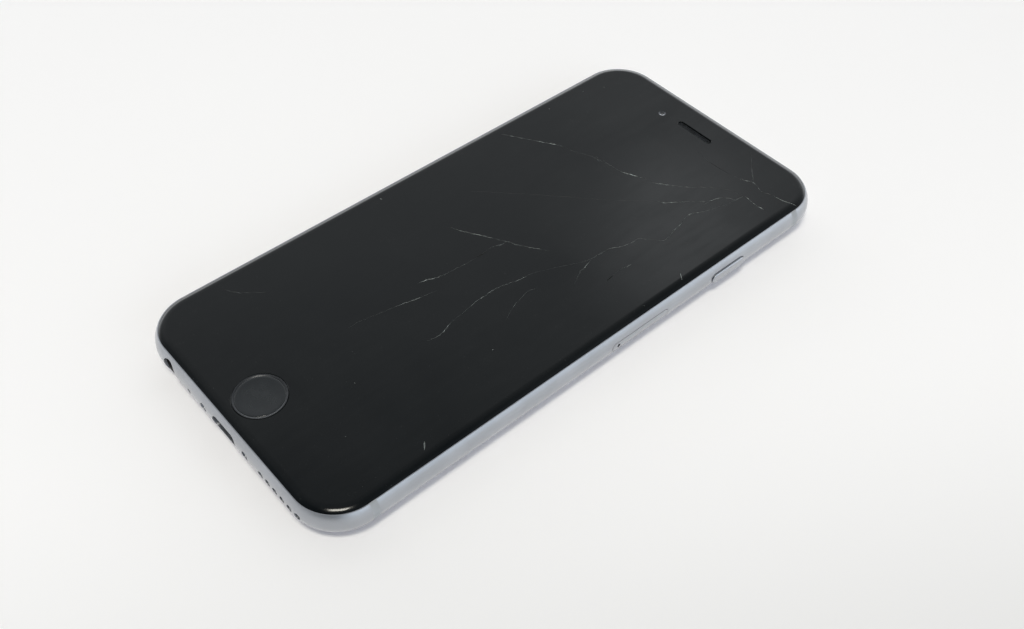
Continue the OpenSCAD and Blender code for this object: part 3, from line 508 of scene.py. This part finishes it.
def place(piece, body, slot, *nodes):
    """Gives a piece its finish, its body and the CAD nodes that it stands for."""
    if not any(piece.data.materials):
        piece.data.materials.clear()
        piece.data.materials.append(FINISHES[slot])
    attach(piece, body)
    if nodes:
        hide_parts(*nodes)


for part in frame["record"]["subparts"]:
    node = frame["nodes"][part["node"]]
    for material_slot in node.material_slots:
        material_slot.material = FINISHES[part["material_slot"]]


# ---- cracked cover glass ----

EDGE_WIDTH = 1.8  # of the glass's rounded border
EDGE_RADIUS = 3.0
CORNER = (glass_high.x / MM, glass_high.y / MM, 9.32)  # half width, half length and corner radius
OPENING_RIM = 0.07  # chamfer round the openings for the button and the earpiece
EAR_SLOT = (10.2, 1.5)  # length and width
GROOVE_LIFT = 0.004  # of a groove's middle line above the glass
HAIR_WIDTH = 0.055  # of a closed crack
OPEN_WIDTH = 0.31  # added where a crack is fully open, before the dashes
TAPER_STEPS = 4  # over which a crack's ends narrow
EDGE_STEPS = 10
CORNER_STEPS = 28

# Each crack: (x, y, how open it is there, which also brightens the painted glints on its walls). The main
# ones start at the struck point, near a corner.
CRACKS = [
    # long crack to the left edge
    [(22.5, 52.7, 0.2), (19.6, 51.7, 0.0), (15.8, 49.1, 0.1), (12.2, 45.1, 0.25), (9.0, 42.4, 0.4),
     (7.6, 41.4, 0.6), (6.4, 40.5, 0.1), (4.4, 39.9, 0.2), (1.9, 38.9, 0.7), (0.4, 38.2, 1.0),
     (-1.7, 37.3, 0.2), (-4.1, 37.1, 0.2), (-7.0, 36.5, 0.3), (-10.0, 35.7, 0.15), (-13.7, 33.9, 0.1),
     (-16.6, 33.2, 0.1), (-18.4, 32.2, 0.65), (-20.6, 30.8, 0.5), (-23.9, 28.6, 0.3), (-26.5, 27.0, 0.35),
     (-29.8, 24.8, 0.3)],
    # from the struck corner, past the camera side of the earpiece
    [(32.6, 59.9, 0.1), (30.8, 58.7, 0.6), (28.8, 58.0, 0.6), (26.4, 57.6, 0.15), (23.9, 56.8, 0.2),
     (20.9, 57.7, 0.3), (19.4, 56.9, 0.4), (17.4, 56.0, 0.1), (14.0, 55.5, 0.0), (9.6, 55.3, 0.0),
     (4.8, 56.1, 0.0)],
    # main crack towards the home button
    [(22.5, 52.7, 0.3), (21.8, 47.9, 0.1), (20.1, 42.0, 0.2), (18.7, 39.3, 0.4), (18.8, 37.5, 0.1),
     (19.6, 34.8, 0.3), (19.8, 32.8, 0.2), (20.7, 29.0, 0.2), (18.9, 27.0, 0.1), (16.6, 24.7, 0.25),
     (16.7, 23.7, 0.3), (16.1, 20.5, 0.25), (14.9, 18.0, 0.35), (14.6, 14.8, 0.3), (14.5, 13.0, 0.15),
     (13.7, 10.2, 0.1), (12.0, 6.5, 0.15), (10.9, 4.0, 0.0), (9.5, 0.2, 0.1), (9.2, -2.7, 0.25),
     (8.3, -6.2, 0.2), (7.8, -9.3, 0.35), (8.0, -11.0, 0.3), (8.0, -13.5, 0.4), (8.5, -16.5, 0.1),
     (8.8, -18.2, 0.1), (9.1, -21.0, 0.1), (9.8, -22.9, 0.8), (10.3, -25.3, 0.15), (9.8, -27.8, 0.2)],
    # straight faint crack down the middle
    [(19.6, 48.6, 0.5), (18.3, 45.2, 0.25), (15.5, 41.5, 0.1), (12.7, 37.9, 0.7), (10.6, 35.8, 0.0),
     (2.1, 27.0, 0.0), (-6.9, 18.5, 0.0), (-18.7, 6.8, 0.0)],
    # short cracks around the struck point
    [(22.5, 52.7, 0.3), (21.9, 50.3, 0.2), (19.6, 48.6, 0.5)],
    [(22.5, 52.7, 0.4), (26.0, 52.4, 0.3), (27.4, 52.5, 0.5), (29.0, 52.7, 0.1)],
    [(20.9, 57.7, 0.3), (17.5, 61.0, 0.25), (13.7, 65.0, 0.0)],
    [(19.6, 48.6, 0.5), (18.9, 46.9, 0.4), (18.4, 42.6, 0.0)],
    # branches of the main crack
    [(14.5, 13.0, 0.1), (15.6, 9.7, 0.4), (15.7, 8.5, 0.2), (18.0, 4.4, 0.0)],
    [(21.4, 18.9, 0.3), (20.8, 15.5, 0.1), (21.1, 12.0, 0.0), (21.7, 10.1, 0.0)],
    [(13.3, -1.6, 0.2), (12.8, -3.8, 0.15), (13.3, -5.7, 0.2), (14.0, -8.5, 0.2), (15.2, -11.1, 0.1),
     (16.0, -12.5, 0.0)],
    # cracks on the left of the main one
    [(-13.0, -4.1, 0.1), (-9.7, -2.6, 0.35), (-5.3, 0.1, 0.4), (-3.4, 1.2, 0.2), (-1.0, 2.7, 0.3),
     (1.6, 3.9, 0.3), (4.7, 6.1, 0.35), (7.1, 7.7, 0.0)],
    [(-1.0, 2.7, 0.2), (-1.2, 1.0, 0.4), (-1.9, -1.1, 0.1), (-1.7, -3.9, 0.0), (-1.6, -7.2, 0.1),
     (-1.7, -8.6, 0.2), (-2.3, -14.8, 0.2), (-3.4, -17.7, 0.6), (-3.7, -19.7, 0.3)],
    [(0.4, -17.5, 0.1), (-0.1, -20.5, 0.1), (-0.5, -22.7, 0.5), (-1.0, -24.5, 0.4), (-1.6, -27.2, 0.1),
     (-2.1, -30.2, 0.1), (-2.6, -32.4, 0.05), (-3.1, -35.6, 0.1), (-2.9, -38.5, 0.0)],
    # faint crack at the lower left
    [(-28.4, -51.0, 0.1), (-25.5, -49.1, 0.15), (-21.8, -44.5, 0.1)],
]
# Fine splinters beside the long crack: two ends and a width
SPLINTERS = [((-9.2, 36.9), (-7.9, 36.6), 0.1), ((-8.4, 36.2), (-6.9, 36.0), 0.12),
             ((-7.2, 37.2), (-5.6, 36.9), 0.1), ((-6.0, 36.3), (-4.6, 36.5), 0.09),
             ((12.0, 36.6), (13.3, 37.9), 0.12)]
# Short stretches of painted shade where a crack gapes: two ends and a width
GAPES = [((-1.5, -2.6), (-1.7, -5.6), 0.30), ((20.9, 13.2), (21.3, 10.8), 0.26),
         ((9.0, 55.2), (15.2, 55.6), 0.12), ((31.6, 59.2), (33.0, 60.1), 0.30)]
# Chips and specks that broke out by themselves: place, length, width and direction in degrees
SPECKS = [((29.4, -43.7), 2.0, 0.34, -38), ((30.4, 23.7), 2.0, 0.22, -36), ((-29.5, -9.9), 0.7, 0.30, 20),
          ((-29.0, 40.3), 0.5, 0.22, 60), ((-28.7, 51.3), 0.45, 0.2, 100), ((-26.5, 56.4), 0.5, 0.2, 40),
          ((9.2, -44.9), 0.35, 0.16, 10), ((18.3, -53.5), 0.4, 0.16, 80), ((20.1, -19.3), 0.45, 0.18, 70)]


def glass_height(x, y):
    """Height of the glass's top at a place, in millimetres: flat, then rounded down along the border."""
    half_x, half_y, corner = CORNER
    dx = abs(x) - (half_x - corner)
    dy = abs(y) - (half_y - corner)
    reach = math.hypot(max(dx, 0), max(dy, 0)) if dx > 0 and dy > 0 else max(dx, dy)
    over = min(max(reach - (corner - EDGE_WIDTH), 0), EDGE_WIDTH)
    return GLASS_TOP - EDGE_RADIUS + math.sqrt(EDGE_RADIUS ** 2 - over ** 2)


def wander(points, rng, step=0.45, jag=0.07):
    """A finer line through a crack's points that keeps to their curve but goes in small jagged steps."""
    line = []
    ends = [points[0], *points, points[-1]]
    for before, a, b, after in zip(ends, ends[1:], ends[2:], ends[3:]):
        length = math.hypot(b[0] - a[0], b[1] - a[1])
        count = max(1, round(length / step))
        for i in range(count):
            t = i / count
            curve = [0.5 * (2 * p1 + (p2 - p0) * t + (2 * p0 - 5 * p1 + 4 * p2 - p3) * t ** 2
                            + (3 * p1 - p0 - 3 * p2 + p3) * t ** 3)
                     for p0, p1, p2, p3 in zip(before[:2], a[:2], b[:2], after[:2])]
            shift = jag * rng.uniform(-1, 1)
            across = ((a[1] - b[1]) / length, (b[0] - a[0]) / length)
            line.append((curve[0] + shift * across[0], curve[1] + shift * across[1],
                         a[2] + (b[2] - a[2]) * t))
    line.append(points[-1])
    return line


def groove(name, line, widths, material):
    """A tool in the shape of a groove along a line on the glass, as wide as the widths say."""
    curve = bpy.data.curves.new(name, "CURVE")
    curve.dimensions = "3D"
    curve.twist_mode = "Z_UP"
    curve.bevel_depth = MM
    curve.bevel_resolution = 0
    curve.use_fill_caps = True
    spline = curve.splines.new("POLY")
    spline.points.add(len(line) - 1)
    for point, (x, y), width in zip(spline.points, line, widths):
        point.co = (x * MM, y * MM, (glass_height(x, y) + GROOVE_LIFT) * MM, 1)
        point.radius = width / 2
    tool = bpy.data.objects.new(name, curve)
    bpy.context.scene.collection.objects.link(tool)
    tool.data.materials.append(material)
    only(tool)
    bpy.ops.object.convert(target="MESH")
    return tool


def crack_tool(number, points):
    """A jagged groove along a crack's points, in longer and shorter dashes."""
    rng = random.Random(100 + number)
    line = wander(points, rng)
    widths = []
    for i, (_, _, open_here) in enumerate(line):
        dash = rng.uniform(0.25, 1.3)
        taper = min(1, (min(i, len(line) - 1 - i) + 1) / TAPER_STEPS)
        widths.append((HAIR_WIDTH + OPEN_WIDTH * open_here * dash) * taper)
    return groove(f"crack_{number}", [p[:2] for p in line], widths, BROKEN)


def slit_tool(name, start, end, width, material):
    """A straight groove that is widest two fifths of the way along."""
    line = [(start[0] + (end[0] - start[0]) * t, start[1] + (end[1] - start[1]) * t)
            for t in (0, 0.2, 0.4, 0.6, 0.8, 1)]
    return groove(name, line, [width * w for w in (0.2, 0.7, 1, 0.9, 0.7, 0.2)], material)


def speck_tool(number, centre, length, width, turn):
    """A short ragged groove."""
    rng = random.Random(300 + number)
    along = (math.cos(math.radians(turn)), math.sin(math.radians(turn)))
    line = [(centre[0] + along[0] * length * t + rng.uniform(-0.04, 0.04),
             centre[1] + along[1] * length * t + rng.uniform(-0.04, 0.04)) for t in (-0.5, -0.2, 0.1, 0.5)]
    return groove(f"speck_{number}", line, [width * w for w in (0.3, 1, 0.8, 0.25)], BROKEN)


def pill_tool(name, centre, length, width, low, high, flare=0.0):
    """A tool with a pill-shaped section, upright, with a flared upper end."""
    tool = block(name, (centre[0] - length / 2, centre[1] - width / 2, low),
                 (centre[0] + length / 2, centre[1] + width / 2, high))
    with editing(tool, "EDGE", upright):
        bpy.ops.mesh.bevel(offset=width / 2 * 0.999, segments=16)
    if flare:
        with editing(tool, "FACE", facing((0, 0, 1))):
            bpy.ops.mesh.extrude_region_move(TRANSFORM_OT_translate={"value": (0, 0, flare)})
            bpy.ops.transform.resize(value=((length + 2 * flare) / length, (width + 2 * flare) / width, 1),
                                     center_override=(centre[0], centre[1], high))
    return tool


def cracked_glass():
    """The cover glass: its rounded border, its three openings, then every groove."""
    drop = (EDGE_RADIUS - math.sqrt(EDGE_RADIUS ** 2 - EDGE_WIDTH ** 2)) * MM
    glass = block("cracked_glass", glass_low, (glass_high.x, glass_high.y, glass_high.z - drop))
    with editing(glass, "EDGE", upright):
        bpy.ops.mesh.bevel(offset=CORNER[2] * MM, segments=CORNER_STEPS)
    with editing(glass, "FACE", facing((0, 0, 1))):
        round_over(EDGE_RADIUS * MM, EDGE_WIDTH * MM, EDGE_STEPS)
    glass.data.materials.append(FINISHES["screen_glass"])

    below = glass_low.z / MM - 1
    rim = OPENING_RIM
    cut(glass, lathe("button_hole", home_centre, [
        (HOME_HOLE, below), (HOME_HOLE, GLASS_TOP - rim), (HOME_HOLE + 2 * rim, GLASS_TOP + rim),
        (0, GLASS_TOP + rim)], sides=128))
    cut(glass, lathe("camera_hole", selfie_centre, [
        (SELFIE_HOLE, below), (SELFIE_HOLE, GLASS_TOP + 1), (0, GLASS_TOP + 1)], sides=48))
    cut(glass, pill_tool("ear_slot", ear_centre, *(size * MM for size in EAR_SLOT), glass_low.z - MM,
                         glass_high.z - rim * MM, flare=2 * rim * MM))

    for i, points in enumerate(CRACKS):
        cut(glass, crack_tool(i, points))
    for i, (start, end, width) in enumerate(SPLINTERS):
        cut(glass, slit_tool(f"splinter_{i}", start, end, width, BROKEN))
    for i, (start, end, width) in enumerate(GAPES):
        cut(glass, slit_tool(f"gape_{i}", start, end, width, CRACK_SHADE))
    for i, speck in enumerate(SPECKS):
        cut(glass, speck_tool(i, *speck))
    smooth(glass)
    place(glass, "root", "screen_glass", "cover_glass")


cracked_glass()


# ---- home button ----

def home_button():
    """The dished cap and its trim ring with the flange under the glass."""
    low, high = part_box("home_button_cap")
    top = high.z / MM
    radius = (high.x - low.x) / 2 / MM
    dished = [(radius, low.z / MM), (radius, top - 0.07), (radius - 0.02, top - 0.035),
              (radius - 0.06, top - 0.01), (radius - 0.13, top)]
    dished += [(radius * t, top - 0.11 * (1 - (t * 1.05) ** 2)) for t in (0.9, 0.75, 0.6, 0.45, 0.3, 0.15)]
    cap = lathe("home_button_face", home_centre, dished + [(0, top - 0.11)], sides=128)
    smooth(cap)
    place(cap, "home_button", "button_glass", "home_button_cap")

    low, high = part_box("home_button_ring")
    outer = 5.4
    inner = radius + 0.03
    top = high.z / MM
    flange = (high.x - low.x) / 2 / MM
    seat = low.z / MM
    cap_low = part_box("home_button_cap")[0].z / MM
    rim = lathe("home_button_rim", home_centre, [
        (flange, seat), (flange, seat + 0.25), (outer, seat + 0.25), (outer, top - 0.04),
        (outer - 0.01, top - 0.012), (outer - 0.04, top), (outer - 0.1, top - 0.008),
        (inner + 0.05, top - 0.06), (inner, top - 0.1), (inner, cap_low), (0, cap_low)], sides=128)
    smooth(rim)
    place(rim, "home_button", "dark_trim_metal", "home_button_ring")


home_button()


def front_camera():
    """The lens and its polished funnel, seen through a hole in the glass."""
    seat = glass_low.z / MM + 0.1
    funnel = lathe("front_camera_bezel", selfie_centre, [
        (SELFIE_HOLE - 0.02, seat), (SELFIE_HOLE - 0.02, GLASS_TOP - 0.04),
        (SELFIE_HOLE - 0.06, GLASS_TOP - 0.03), (SELFIE_HOLE - 0.1, GLASS_TOP - 0.04),
        (0.42, GLASS_TOP - 0.17), (0.4, GLASS_TOP - 0.3), (0, GLASS_TOP - 0.3)], sides=64)
    smooth(funnel)
    place(funnel, "root", "polished_trim")
    dome = [(0.39, GLASS_TOP - 0.31)] + [(0.39 * math.cos(a), GLASS_TOP - 0.24 + 0.1 * math.sin(a))
                                         for a in (0.0, 0.3, 0.6, 0.9, 1.2)]
    lens = lathe("front_camera_lens", selfie_centre, dome + [(0, GLASS_TOP - 0.14)], sides=48)
    smooth(lens, 60)
    place(lens, "root", "lens_window")


front_camera()


# ---- side keys ----

FLANGE_T = 0.6  # thickness of the flange at a key's inner end
FLANGE_LAP = 0.1  # how far a key reaches into its flange
CROWN_STEPS = 7
KEY_HEIGHT = 2.3
KEY_END = 1.149  # radius of a key's ends, just under half its height
KEY_CROWN = (0.75, 0.5)  # arc's radius and the width it takes from each edge


def crown_over(radius, width, side, size, centre, steps):
    """Crowns the selected end face by an arc: each step moves it out and draws it in about centre."""
    start = math.asin(width / radius)
    arc = [start * (1 - i / steps) for i in range(steps + 1)]
    insets = [width - radius * math.sin(a) for a in arc]
    for i in range(steps):
        rise = radius * (math.cos(arc[i + 1]) - math.cos(arc[i]))
        bpy.ops.mesh.extrude_region_move(TRANSFORM_OT_translate={"value": (side * rise * MM, 0, 0)})
        shrink = [(extent - 2 * insets[i + 1]) / (extent - 2 * insets[i]) for extent in size]
        bpy.ops.transform.resize(value=(1, *shrink), center_override=centre)


def side_key(node, body, side, size, corner, crown):
    """A crowned key on its flange, on side 1 (+X) or -1; size is its length and height, crown its arc."""
    low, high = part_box(node)
    at = (low + high) / 2 / MM
    ends = sorted((abs(low.x) / MM, abs(high.x) / MM))
    flange_end = ends[0] + FLANGE_T
    radius, width = crown
    drop = radius - math.sqrt(radius ** 2 - width ** 2)

    def slab(name, inner, outer, length, height):
        xs = sorted((side * inner, side * outer))
        return block(name, Vector((xs[0], at.y - length / 2, at.z - height / 2)) * MM,
                     Vector((xs[1], at.y + length / 2, at.z + height / 2)) * MM)

    key = slab(node + "_key", flange_end - FLANGE_LAP, ends[1] - drop, *size)
    key.data.materials.append(FINISHES["button_aluminium"])
    with editing(key, "EDGE", lambda e: (e.verts[0].co - e.verts[1].co).yz.length < 1e-7):
        bpy.ops.mesh.bevel(offset=corner * MM, segments=14)
    with editing(key, "FACE", facing((side, 0, 0))):
        crown_over(radius, width, side, size, at * MM, CROWN_STEPS)
    flange = slab("flange", ends[0], flange_end, (high.y - low.y) / MM, size[1] - 0.2)
    flange.data.materials.append(FINISHES["button_aluminium"])
    soften(flange, 0.1 * MM, 2)
    cut(key, flange, "UNION")
    smooth(key)
    place(key, body, "button_aluminium", node)


for node, side, length in (("power_button", 1, 10), ("volume_up_button", -1, 9),
                           ("volume_down_button", -1, 9)):
    side_key(node, node, side, (length, KEY_HEIGHT), KEY_END, KEY_CROWN)
side_key("ring_switch_lever", "ring_switch", -1, (5.4, 1.5), 0.6, (0.4, 0.25))


# ---- rear camera and flash ----

def rear_camera():
    """The trim ring that stands proud of the back, and the window in its well."""
    low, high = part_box("camera_ring")
    centre = (low + high) / 2
    bottom, top = low.z / MM, high.z / MM
    radius = (high.x - low.x) / 2 / MM
    window_low, window_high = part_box("camera_window")
    pane = (window_high.x - window_low.x) / 2 / MM
    ring = lathe("rear_camera_ring", centre, [
        (pane + 0.55, bottom), (radius - 0.22, bottom + 0.02), (radius - 0.08, bottom + 0.08),
        (radius - 0.01, bottom + 0.24), (radius, bottom + 0.4), (radius, top), (0, top)], sides=96)
    well = lathe("well", centre, [
        (pane + 0.5, bottom - 0.5), (pane + 0.5, bottom + 0.03), (pane + 0.02, bottom + 0.16),
        (pane + 0.02, top + 0.5), (0, top + 0.5)], sides=96)
    cut(ring, well)
    smooth(ring)
    place(ring, "root", "polished_trim", "camera_ring")
    pane_z = window_low.z / MM
    back = window_high.z / MM
    glass = lathe("rear_camera_window", centre, [
        (pane - 0.1, pane_z), (pane - 0.03, pane_z + 0.03), (pane, pane_z + 0.1), (pane, back),
        (0, back)], sides=96)
    smooth(glass)
    place(glass, "root", "lens_window", "camera_window")


def flash():
    """The flash's lens: fine rings round a small crown."""
    low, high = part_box("flash_window")
    centre = (low + high) / 2
    bottom, top = low.z / MM, high.z / MM
    radius = (high.x - low.x) / 2 / MM
    rings = [(radius, top), (radius, bottom + 0.05), (radius - 0.05, bottom), (radius - 0.2, bottom)]
    r = radius - 0.2
    while r > 0.5:
        rings += [(r - 0.02, bottom + 0.07), (r - 0.16, bottom + 0.01)]
        r -= 0.16
    rings += [(r - 0.05, bottom + 0.05), (r * 0.6, bottom + 0.02), (r * 0.3, bottom + 0.005)]
    lens = lathe("flash_lens", centre, rings + [(0, bottom)], sides=72)
    smooth(lens, 20)
    place(lens, "root", "flash_amber", "flash_window")


rear_camera()
flash()


# ---- charging contacts ----

def contacts():
    """Eight plated springs along the roof of the charging socket."""
    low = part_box("charging_port")[0]
    count = 8
    roof, front, drop, pitch, width = 5.22, low.y / MM + 1.2, 0.14, 0.66, 0.32
    model = block("contact", Vector((-width / 2, front, roof - drop)) * MM,
                  Vector((width / 2, front + 4, roof)) * MM)
    with editing(model, "EDGE", lambda e: all(v.co.z < (roof - drop / 2) * MM for v in e.verts)):
        bpy.ops.mesh.bevel(offset=0.05 * MM, segments=3)
    springs = []
    for i in range(count):
        spring = model.copy()
        spring.data = model.data.copy()
        spring.location = ((i - (count - 1) / 2) * pitch * MM, 0, 0)
        bpy.context.scene.collection.objects.link(spring)
        springs.append(spring)
    bpy.data.objects.remove(model)
    row = join("charging_contacts", springs)
    bpy.ops.object.transform_apply(location=True, rotation=True, scale=True)
    smooth(row)
    place(row, "root", "brass_plated")


contacts()


# ---- woven meshes ----

def weave(name, size, pitch, wire, bulge):
    """A woven cloth of wires on the XY plane, centred on the origin; one wire each way is copied."""
    width, height = size

    def strand(length, number):
        curve = bpy.data.curves.new(name, "CURVE")
        curve.dimensions = "3D"
        curve.bevel_depth = wire / 2 * MM
        curve.bevel_resolution = 1
        curve.use_fill_caps = True
        count = int(length / pitch * 4)
        spline = curve.splines.new("POLY")
        spline.points.add(count)
        for i, point in enumerate(spline.points):
            along = -length / 2 + length * i / count
            point.co = (along * MM, 0, bulge * math.sin(math.pi * along / pitch + math.pi * number) * MM, 1)
        piece = bpy.data.objects.new(name, curve)
        bpy.context.scene.collection.objects.link(piece)
        only(piece)
        bpy.ops.object.convert(target="MESH")
        return piece

    strands = []
    for length, span, turn in ((width, height, 0), (height, width, math.pi / 2)):
        models = [strand(length, number) for number in (0, 1)]
        count = int(span / pitch)
        for i in range(count):
            model = models[(i + (1 if turn else 0)) % 2]
            copy = model.copy()
            copy.data = model.data.copy()
            offset = (-span / 2 + (i + 0.5) * span / count) * MM
            copy.rotation_euler = (0, 0, turn)
            copy.location = (offset if turn else 0, 0 if turn else offset, 0)
            bpy.context.scene.collection.objects.link(copy)
            strands.append(copy)
        for model in models:
            bpy.data.objects.remove(model)
    cloth = join(name, strands)
    bpy.ops.object.transform_apply(location=True, rotation=True, scale=True)
    return cloth


def earpiece_grille():
    """A fine cloth in the earpiece slot, on a rim that stands on its tray."""
    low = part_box("earpiece_mesh")[0]
    centre = ear_centre
    cloth = weave("earpiece_grille", (9.9, 1.3), 0.3, 0.11, 0.055)
    rim = (GLASS_TOP - 0.34) * MM
    cloth.location = (centre.x, centre.y, rim + 0.02 * MM)
    only(cloth)
    bpy.ops.object.transform_apply(location=True, rotation=True, scale=True)
    tray = pill_tool("tray", centre, 11.1 * MM, 2.4 * MM, low.z, low.z + 0.14 * MM)
    wall = pill_tool("wall", centre, 10.1 * MM, 1.4 * MM, low.z, rim)
    hollow = pill_tool("hollow", centre, 9.8 * MM, 1.1 * MM, low.z + 0.2 * MM, rim + MM)
    cut(wall, hollow)
    cut(tray, wall, "UNION")
    soften(tray, 0.03 * MM, 2)
    grille = join("earpiece_grille", [cloth, tray])
    smooth(grille)
    place(grille, "root", "dark_mesh", "earpiece_mesh")


earpiece_grille()


def speaker_grille():
    """A woven mesh in a border, upright behind the holes in the bottom end."""
    low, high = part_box("speaker_mesh")
    centre = (low + high) / 2
    cloth = weave("weave", ((high.x - low.x) / MM - 0.3, (high.z - low.z) / MM - 0.3), 0.34, 0.12, 0.045)
    cloth.rotation_euler = (math.pi / 2, 0, 0)
    cloth.location = centre
    only(cloth)
    bpy.ops.object.transform_apply(location=True, rotation=True, scale=True)
    border = block("border", low, high)
    inner = Vector((0.5, -1, 0.4)) * MM
    cut(border, block("opening", low + inner, high - inner))
    soften(border, 0.04 * MM, 2)
    grille = join("speaker_grille", [cloth, border])
    smooth(grille)
    place(grille, "root", "dark_mesh", "speaker_mesh")


speaker_grille()


# ---- stage, lights and camera ----

def studio():
    """A pale floor with painted shade that darkens it towards the near side in place of the light's fall-off,
    the room and one lamp.
    """
    bpy.ops.mesh.primitive_plane_add(size=6, location=(0, 0, 0))
    floor = named("floor")
    paint = Paint("floor")
    # painted shade: the floor's colour darkens towards the near corner, standing in for the light falling off
    painted_falloff = (paint.y * 0.5 - paint.x * 0.86).ramp(-150, -30)
    patches = paint.noise(0.004).ramp(0.3, 0.7) * 0.04
    seen = 1 - (1 - paint.node("ShaderNodeLightPath", out="Is Camera Ray")) * (
        1 - paint.node("ShaderNodeLightPath", out="Is Glossy Ray")) * (
        1 - paint.node("ShaderNodeLightPath", out="Is Transmission Ray"))
    paint.finish(paint.mix(painted_falloff - patches, (0.62, 0.625, 0.62), (0.90, 0.900, 0.905)), 0.75,
                 Emission_Color=paint.mix(seen, (0, 0, 0), (0.115, 0.108, 0.12)), Emission_Strength=1.0)
    floor.data.materials.append(paint.material)
    room()
    lamp("ceiling_tube", (0.38, -0.48, 2.0), (0.68, 0.42), 45, 24.5, (1.0, 0.965, 0.87))


def room():
    """A room with a dark ceiling, a bluish band of windows low on the near sides and a paler far wall."""
    world = bpy.data.worlds.new("room")
    world.use_nodes = True
    bpy.context.scene.world = world
    nodes = Nodes(world.node_tree)
    direction = nodes.node("ShaderNodeTexCoord", out="Generated")

    def glow(toward, start, full):
        """0 outside a cone round a direction and 1 in the middle of it; start and full are cosines."""
        return nodes.node("ShaderNodeVectorMath", {"operation": "DOT_PRODUCT"},
                          {0: direction, 1: Vector(toward).normalized()}, out="Value").ramp(start, full)

    x, y, z = nodes.split(direction)
    near = (x - y).ramp(-0.6, 0.5)
    walls = 0.31 + 0.42 * (1 - z.ramp(0.68, 0.88))
    walls = walls * (1 - 0.6 * x.ramp(-0.3, 0.3)) * (1 - 0.85 * (0 - y).ramp(0.0, 0.7))
    windows = 1.35 * near * (1 - z.ramp(0.42, 0.66)) * (1 - 0.9 * (0 - y).ramp(0.15, 0.75))
    horizon = 2.4 * (1 - near) * (1 - z.ramp(0.0, 0.42))
    sheen = 0.9 * glow((-0.436, 0.580, 0.688), 0.9955, 1.0)
    strength = walls + windows + horizon + sheen
    tint = nodes.mix(near, (0.95, 0.98, 1.0), (0.84, 0.92, 1.0))
    seen = nodes.node("ShaderNodeLightPath", out="Is Camera Ray")
    strength = nodes.node("ShaderNodeMix", None, {0: seen, 2: strength, 3: 0.93})
    background = nodes.node("ShaderNodeBackground", None, {"Color": tint, "Strength": strength})
    end = nodes.tree.nodes.new("ShaderNodeOutputWorld")
    nodes.tree.links.new(background.socket, end.inputs["Surface"])


def lamp(name, place, size, turn, power, colour):
    """A rectangular lamp that looks down; turn is its long side's angle from X in degrees."""
    data = bpy.data.lights.new(name, "AREA")
    data.shape = "RECTANGLE"
    data.size, data.size_y = size
    data.energy = power
    data.color = colour
    light = bpy.data.objects.new(name, data)
    light.location = place
    light.rotation_euler = (0, 0, math.radians(turn))
    bpy.context.scene.collection.objects.link(light)


VIEW_ANGLES = (48.49, 48.39, 0.743)  # azimuth, elevation and roll in degrees
VIEW_AIM = (15.52, -10.35, 7.8)  # the place on the glass that the camera looks at
VIEW_DISTANCE = 228.03
VIEW_LENS = 39.49


def camera():
    """The camera looks down at the front from beyond the near corner."""
    azimuth, elevation, roll = (math.radians(a) for a in VIEW_ANGLES)
    back = Vector((math.sin(azimuth) * math.cos(elevation), -math.cos(azimuth) * math.cos(elevation),
                   math.sin(elevation)))
    data = bpy.data.cameras.new("camera")
    data.lens = VIEW_LENS
    data.sensor_width = 36
    data.clip_start = 0.01
    eye = bpy.data.objects.new("camera", data)
    eye.location = Vector(VIEW_AIM) * MM + back * VIEW_DISTANCE * MM
    turn = (-back).to_track_quat("-Z", "Y").to_matrix() @ Matrix.Rotation(roll, 3, "Z")
    eye.rotation_mode = "QUATERNION"
    eye.rotation_quaternion = turn.to_quaternion()
    bpy.context.scene.collection.objects.link(eye)
    bpy.context.scene.camera = eye


studio()
camera()
bpy.context.scene.view_settings.view_transform = "Standard"
